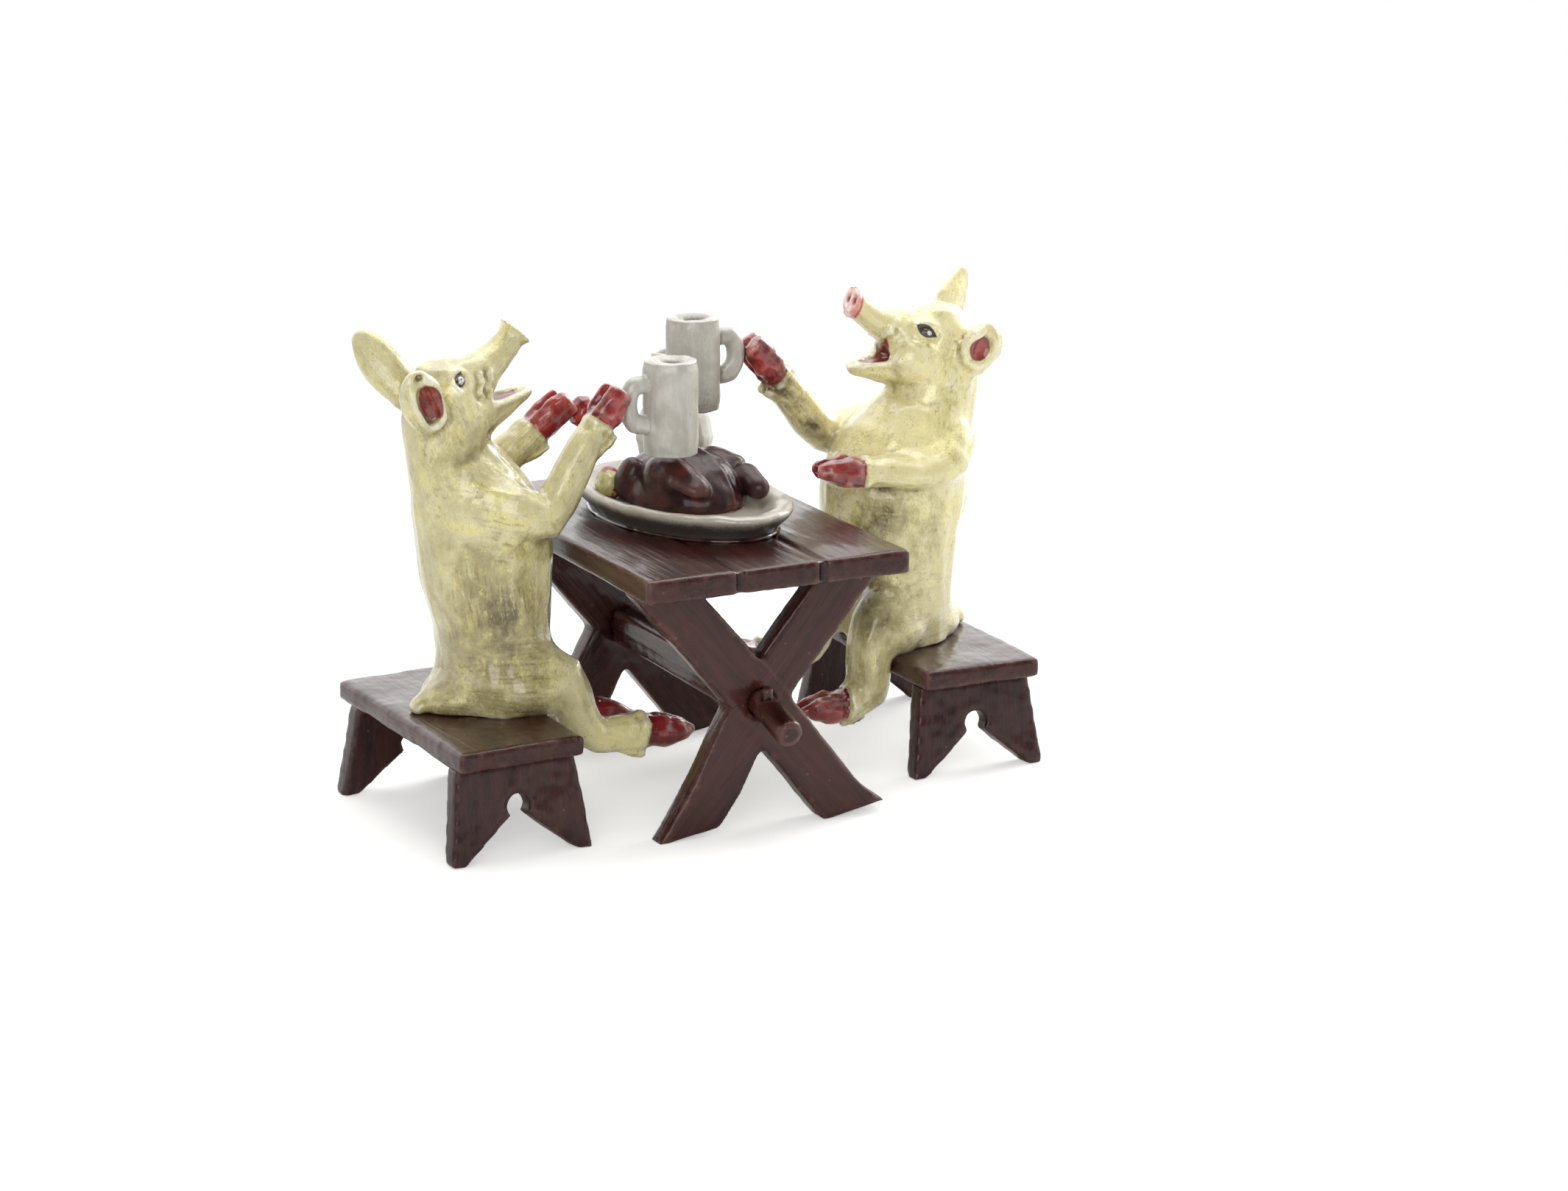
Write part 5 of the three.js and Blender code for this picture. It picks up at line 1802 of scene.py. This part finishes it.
@dataclass
class Studio:
    """Pale floor, soft light and the camera of the photograph."""

    lens: float = 91.285
    sensor: float = 36.0
    eye: Point = (-235.43, -496.9, 175.57)
    right: Point = (0.89228, -0.45148, 0.00034)
    up: Point = (0.11675, 0.23146, 0.96581)
    back: Point = (-0.43612, -0.86174, 0.25924)
    sky: float = 0.42
    tent: float = 1.8
    front: float = 0.12
    glow: float = 0.42
    floor_size: float = 6.0
    white: Colour = (1, 1, 1, 1)
    daylight: Colour = (1.0, 0.995, 0.98, 1)

    def build(self) -> None:
        """Sets floor, sky, lamps and camera."""
        self.floor()
        self.world()
        self.lamp("overhead", (0.05, 0.12, 0.62), aim=(0, 0, 0.03), size=0.5, power=1.9)
        self.lamp("right_window", (0.62, 0.2, 0.36), aim=(0.02, 0, 0.04), size=0.4, power=3.0)
        self.lamp("left_fill", (-0.34, -0.6, 0.3), aim=(0.02, 0, 0.03), size=0.45, power=2.0)
        self.camera()
        bpy.context.scene.view_settings.view_transform = "Standard"

    def floor(self) -> None:
        """Lays a white floor that keeps the shadow and runs into the white behind it."""
        bpy.ops.object.select_all(action="DESELECT")
        bpy.ops.mesh.primitive_plane_add(size=self.floor_size, location=(0, 0, 0))
        floor = bpy.context.object
        floor.name = "floor"
        bpy.ops.object.mode_set(mode="EDIT")
        bpy.ops.mesh.subdivide(number_cuts=8)
        bpy.ops.object.mode_set(mode="OBJECT")
        mix = Recipe("studio_floor")
        tone = mix.mix(mix.grain(60, 2), paint(246, 246, 242), paint(250, 250, 247))
        matt = mix.node("ShaderNodeBsdfDiffuse", {}, {"Color": tone})
        seen = mix.seen()
        far = mix.vector("LENGTH", mix.place).rise(110.0, 420.0)
        light = mix.node("ShaderNodeEmission", {}, {"Color": self.white, "Strength": seen * self.glow})
        white = mix.node("ShaderNodeEmission", {}, {"Color": self.white, "Strength": 1.0})
        near = mix.node("ShaderNodeAddShader", {}, {0: matt, 1: light})
        mix.output(mix.node("ShaderNodeMixShader", {}, {0: seen * far, 1: near, 2: white}))
        floor.data.materials.append(mix.material)

    def world(self) -> None:
        """Fills the room with even light: a tent with a dark front for gloss, white behind the floor."""
        sky = Sky("studio_sky")
        front = sky.vector("DOT_PRODUCT", sky.place, self.back).rise(-0.25, 0.75)
        tent = self.tent + (self.front - self.tent) * front
        level = self.sky + (tent - self.sky) * sky.ray("Glossy")
        lit = sky.node("ShaderNodeBackground", {}, {"Color": self.daylight, "Strength": level})
        white = sky.node("ShaderNodeBackground", {}, {"Color": self.white})
        light = sky.node("ShaderNodeMixShader", {}, {0: sky.seen(), 1: lit, 2: white})
        sky.output(light, "ShaderNodeOutputWorld")

    def lamp(self, name: str, place: Point, aim: Point, size: float, power: float) -> None:
        """Hangs one softbox.

        Args:
            name: Its name.
            place: Where it hangs, in metres.
            aim: What it points at.
            size: Edge length in metres.
            power: Watts.
        """
        data = bpy.data.lights.new(name, "AREA")
        data.shape = "SQUARE"
        data.size = size
        data.energy = power
        lamp = bpy.data.objects.new(name, data)
        bpy.context.scene.collection.objects.link(lamp)
        lamp.location = place
        lamp.rotation_euler = (Vector(aim) - Vector(place)).to_track_quat("-Z", "Y").to_euler()

    def camera(self) -> None:
        """Sets the camera where the photograph was taken."""
        low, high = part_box("table_top")
        middle = (low + high) / 2
        data = bpy.data.cameras.new("camera")
        data.lens = self.lens
        data.sensor_width = self.sensor
        data.clip_start, data.clip_end = 0.01, 20.0
        camera = bpy.data.objects.new("camera", data)
        bpy.context.scene.collection.objects.link(camera)
        turn = Matrix((self.right, self.up, self.back)).transposed().to_4x4()
        spot = Vector(self.eye) * MM + Vector((middle.x, middle.y, 0))
        camera.matrix_world = Matrix.Translation(spot) @ turn
        bpy.context.scene.camera = camera


def left_pig() -> Pig:
    """Describes the pig on the left, with an upright eye and wavy cheek folds.

    Returns:
        The pig.
    """
    return Pig(
        Side.LEFT, pitch=12.0, disc_tilt=34.0, jaw_drop=0.0,
        hooves=(Hoof((25.2, -7, -5.2), (32.8, -6.8, -6), 2.9), Hoof((23.4, 7.6, -6.4), (30.8, 7.6, -7.4), 2.7),
                Hoof((19.2, -6.3, 39.8), (22.4, -5.9, 43.8), 2.3),
                Hoof((15.6, 6.8, 36.7), (20.2, 6.4, 40.6), 2.4)),
        ears=(Ear(((-5.2, -4.6, 42.2), (-7.5, -6.3, 45.4), (-8.4, -7, 48.3), (-8.7, -7.2, 49.6)),
                  (-6.2, -6.9, 45.4), (3.0, 1.6)),
              Ear(((-4.4, 4.2, 43.6), (-6.6, 7, 47.6), (-8.6, 9.1, 50.8), (-9.6, 10, 52.2)),
                  (-6.6, 7, 47.6), (4, 1.9))),
        eye=(-0.71, -4.41, 47.34), eye_ends=((-0.99, -4.97, 46.46), (-0.4, -3.78, 48.21)),
        gaze=Gaze((0.64, 0.38), (1.25, 0.8), (0.14, 0.0), (0.2, 0.0)),
        blush=-0.7, grime=1.4, tones=(paint(230, 223, 180), paint(202, 193, 146)),
        folds=(((1.9, -3.7, 47.8), (2.1, -4.1, 46.6), (1.3, -4.6, 45.6), (2.1, -4.4, 44.5)),
               ((3.4, -3.4, 48.3), (3.5, -3.9, 46.9), (2.8, -4.1, 45.8), (3.7, -3.3, 44.4))),
        creases=(((4.4, -3.2, 39.6), (2.4, -5.6, 37.4), (-1.6, -6.6, 36.6)),),
        lips=(((10.4, 1.2, 42.0), (7.2, 2.6, 42.1), (4.8, 3.5, 42.4)),),
        limbs=(((5.2, 0, -5), (-1.4, 0, 46.6)), ((2.4, 0, 45.3), (11.5, 0, 52)), ((3, 0, 40), (11, 0, 43)),
               ((2.5, -5, 5), (12.2, -7.3, 4.4), (14.8, -7.3, -1.4), (25.2, -7, -5.2), (32.8, -6.8, -6)),
               ((2.5, 5, 5), (12, 7.3, 4.2), (14.4, 7.4, -1.6), (23.4, 7.6, -6.4), (30.8, 7.6, -7.4)),
               ((0.4, -4.6, 30.6), (10.2, -7.9, 27.9), (22.4, -5.9, 43.8)),
               ((0.4, 4.6, 30.6), (4.4, 7.3, 29.6), (20.2, 6.4, 40.6))),
        # Stain and shade spots; the negative one paints light on the shin.
        stain_and_shade_spots=(((-4.0, -5.0, 35.3), 4.0, 0.25), ((0.0, -5.7, 39.1), 3.5, 0.3), ((-4.0, -0.7, 4.0), 4.0, 0.45),
                ((2.7, -8.5, 15.7), 5.5, 0.75), ((-0.3, -8.0, 23.1), 3.5, 0.3), ((4.5, -9.1, 8.1), 5.0, 0.45),
                ((-1.9, -3.8, 9.8), 4.0, 0.3), ((6.0, -10.0, 1.0), 5.0, 0.4), ((21.3, -9.3, -3.9), 6.0, -1.0),
                ((-8.2, -7.5, 49.2), 0.3, 2.5)),
        dents=(((-2.6, -1.0, 49.6), 3.2, 0.6), ((1.7, -1.0, 49.6), 2.0, -0.4), ((-8.2, -7.5, 49.2), 0.3, 0.5)),
        pads=(((8.2, -6.6, 3.4), (6.6, 4.6, 4.2)), ((7.4, 6.6, 3.2), (6.0, 4.6, 3.8))),
        fills=(((3.0, -6.4, 29.5), 6.0), ((2.0, 6.0, 30.0), 5.0), ((4.0, -2.6, 44.6), 1.6),
               ((4.0, 2.6, 44.6), 1.6)),
    )


def right_pig() -> Pig:
    """Describes the pig on the right, with an almond eye and a deep crease under its jaw.

    Returns:
        The pig.
    """
    return Pig(
        Side.RIGHT, pitch=2.0, disc_tilt=15.0, jaw_drop=5.0,
        hooves=(Hoof((16.6, 8.7, -7.3), (23.6, 8.6, -7), 2.7), Hoof((23, -8, -3), (30.4, -8, -2.4), 2.7),
                Hoof((14, 8.9, 27.6), (20.3, 8.6, 28.4), 2.2), Hoof((21, -5.2, 40), (25.8, -4.2, 45.2), 2.4)),
        ears=(Ear(((-5.7, 5.4, 40.6), (-6.4, 6.9, 43.4), (-6.9, 7.6, 46), (-7.1, 7.8, 47)),
                  (-5.7, 7.4, 44.1), (1.8, 1.65)),
              Ear(((-6, -3.8, 44.4), (-8.8, -6.4, 48.6), (-11.6, -8.4, 52.4)), (-8.8, -6.4, 48.6), (4.1, 1.6))),
        eye=(0.8, 4.4, 46.1), eye_ends=((-0.23, 4.77, 45.45), (2.99, 3.5, 47.45)),
        gaze=Gaze((0.38, 0.32), (1.75, 0.86), (0.5, 0.12)),
        blush=0.2, grime=0.3, tones=(paint(246, 239, 198), paint(227, 216, 162)),
        folds=(((3.2, 3.6, 45.6), (4.4, 3.3, 44.8), (5.2, 2.6, 43.6)),
               ((5.6, 2.9, 46.6), (6.4, 2.6, 45.6), (7.0, 2.0, 44.9)),
               ((3.4, 4.1, 45.3), (2.4, 4.3, 44.5), (1.2, 4.6, 44.2)),
               ((4.5, 3.1, 48.0), (5.4, 3.3, 47.2), (5.3, 3.4, 46.2))),
        creases=(((6.2, 2.0, 38.0), (4.4, 3.9, 36.6), (2.2, 6.2, 36.0)),),
        lips=(((10.2, 1.3, 42.0), (7.2, 2.7, 42.1), (4.8, 3.6, 42.4)),),
        limbs=(((4.6, 0, -5), (-2.8, 0, 46.2)), ((2.4, 0, 45.3), (11.5, 0, 50.4)), ((3, 0, 40), (11, 0, 42)),
               ((2, 5, 5), (11.4, 8.2, 4.2), (12.9, 8.7, -5.5), (16.6, 8.7, -7.3), (23.6, 8.6, -7)),
               ((2, -5, 5), (11.4, -7.6, 4.2), (16.4, -8, -3.8), (30.4, -8, -2.4)),
               ((-2.4, 5.6, 31), (-0.6, 8.8, 27.8), (4.2, 9.6, 26.5), (20.3, 8.6, 28.4)),
               ((-0.8, -5, 30.4), (12, -7.5, 30), (25.8, -4.2, 45.2))),
        # Stain and shade spots; the negative ones paint light on the neck and chest.
        stain_and_shade_spots=(((12.0, 6.7, 8.6), 4.5, 1.0), ((13.5, 11.5, -3.9), 4.5, 0.6), ((12.7, 11.3, 4.4), 4.0, 0.75),
                ((3.7, 10.1, 20.3), 5.0, 0.35), ((1.7, 8.2, 31.8), 4.0, -0.7), ((10.5, 4.4, 30.8), 4.5, -0.6),
                ((11.0, 7.9, 20.0), 4.0, 1.0), ((6.1, 10.3, 5.0), 4.0, 0.3),
                ((17.5, -3.7, 35.6), 1.8, 0.6), ((15.8, -4.4, 32.3), 1.8, 0.7), ((14.4, -4.8, 30.4), 1.8, 0.6),
                ((20.2, -5.2, 38.6), 2.4, 1.0), ((21.5, -3.6, 38.4), 1.8, 0.8), ((4.0, 9.0, 14.0), 5.0, 0.35)),
        dents=(((10.6, 0.0, 41.2), 1.2, -0.5),),
        pads=(((8.6, 7.2, 3.2), (5.8, 5.0, 4.2)), ((8.0, -6.6, 3.2), (5.6, 4.8, 3.8)),
              ((2.6, 3.0, 42.0), (3.4, 2.6, 3.4)), ((2.6, -3.0, 42.0), (3.4, 2.6, 3.4)),
              ((-5.8, 7.2, 43.9), (2.8, 0.9, 3.2))),
        fills=(((1.0, 8.0, 29.0), 7.0), ((1.0, -6.0, 30.0), 6.0), ((-1.5, 6.6, 35.4), 4.5),
               ((-1.5, -6.6, 35.4), 4.5), ((5.2, 2.4, 43.6), 2.2), ((5.2, -2.4, 43.6), 2.2)),
    )


def main() -> None:
    """Builds the group piece by piece and lights it."""
    logging.basicConfig(level=logging.INFO, format="%(name)s: %(message)s")
    Studio().build()
    palette = Palette()
    Table().build(palette.wood)
    Feast(palette).build()
    for pig, mug in ((left_pig(), Tankard(Side.LEFT, (26.7, -6.7, 38.2), stain_and_shade=0.1, painted_foot_shade=0.0)),
                     (right_pig(), Tankard(Side.RIGHT, (29.6, -3.4, 42.4), stain_and_shade=0.34, painted_foot_shade=0.4))):
        bench = Bench(pig.side)
        bench.build(palette.wood)
        pig.build(bench.place())
        mug.build(bench.place(), palette.pewter)
        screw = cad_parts[pig.side.node("seat_screw")]
        screw.data.materials.clear()
        screw.data.materials.append(palette.brass)
    apple = Lump("left_apple", "left_diner", "red_paint", voxel=0.14, lumps=0.14, seed=80.0, swell=0.3,
                 rounding=10, melting=0, lump_size=1.8)
    apple.build(Bench(Side.LEFT).place(), palette.red)


if __name__ == "__main__":
    main()
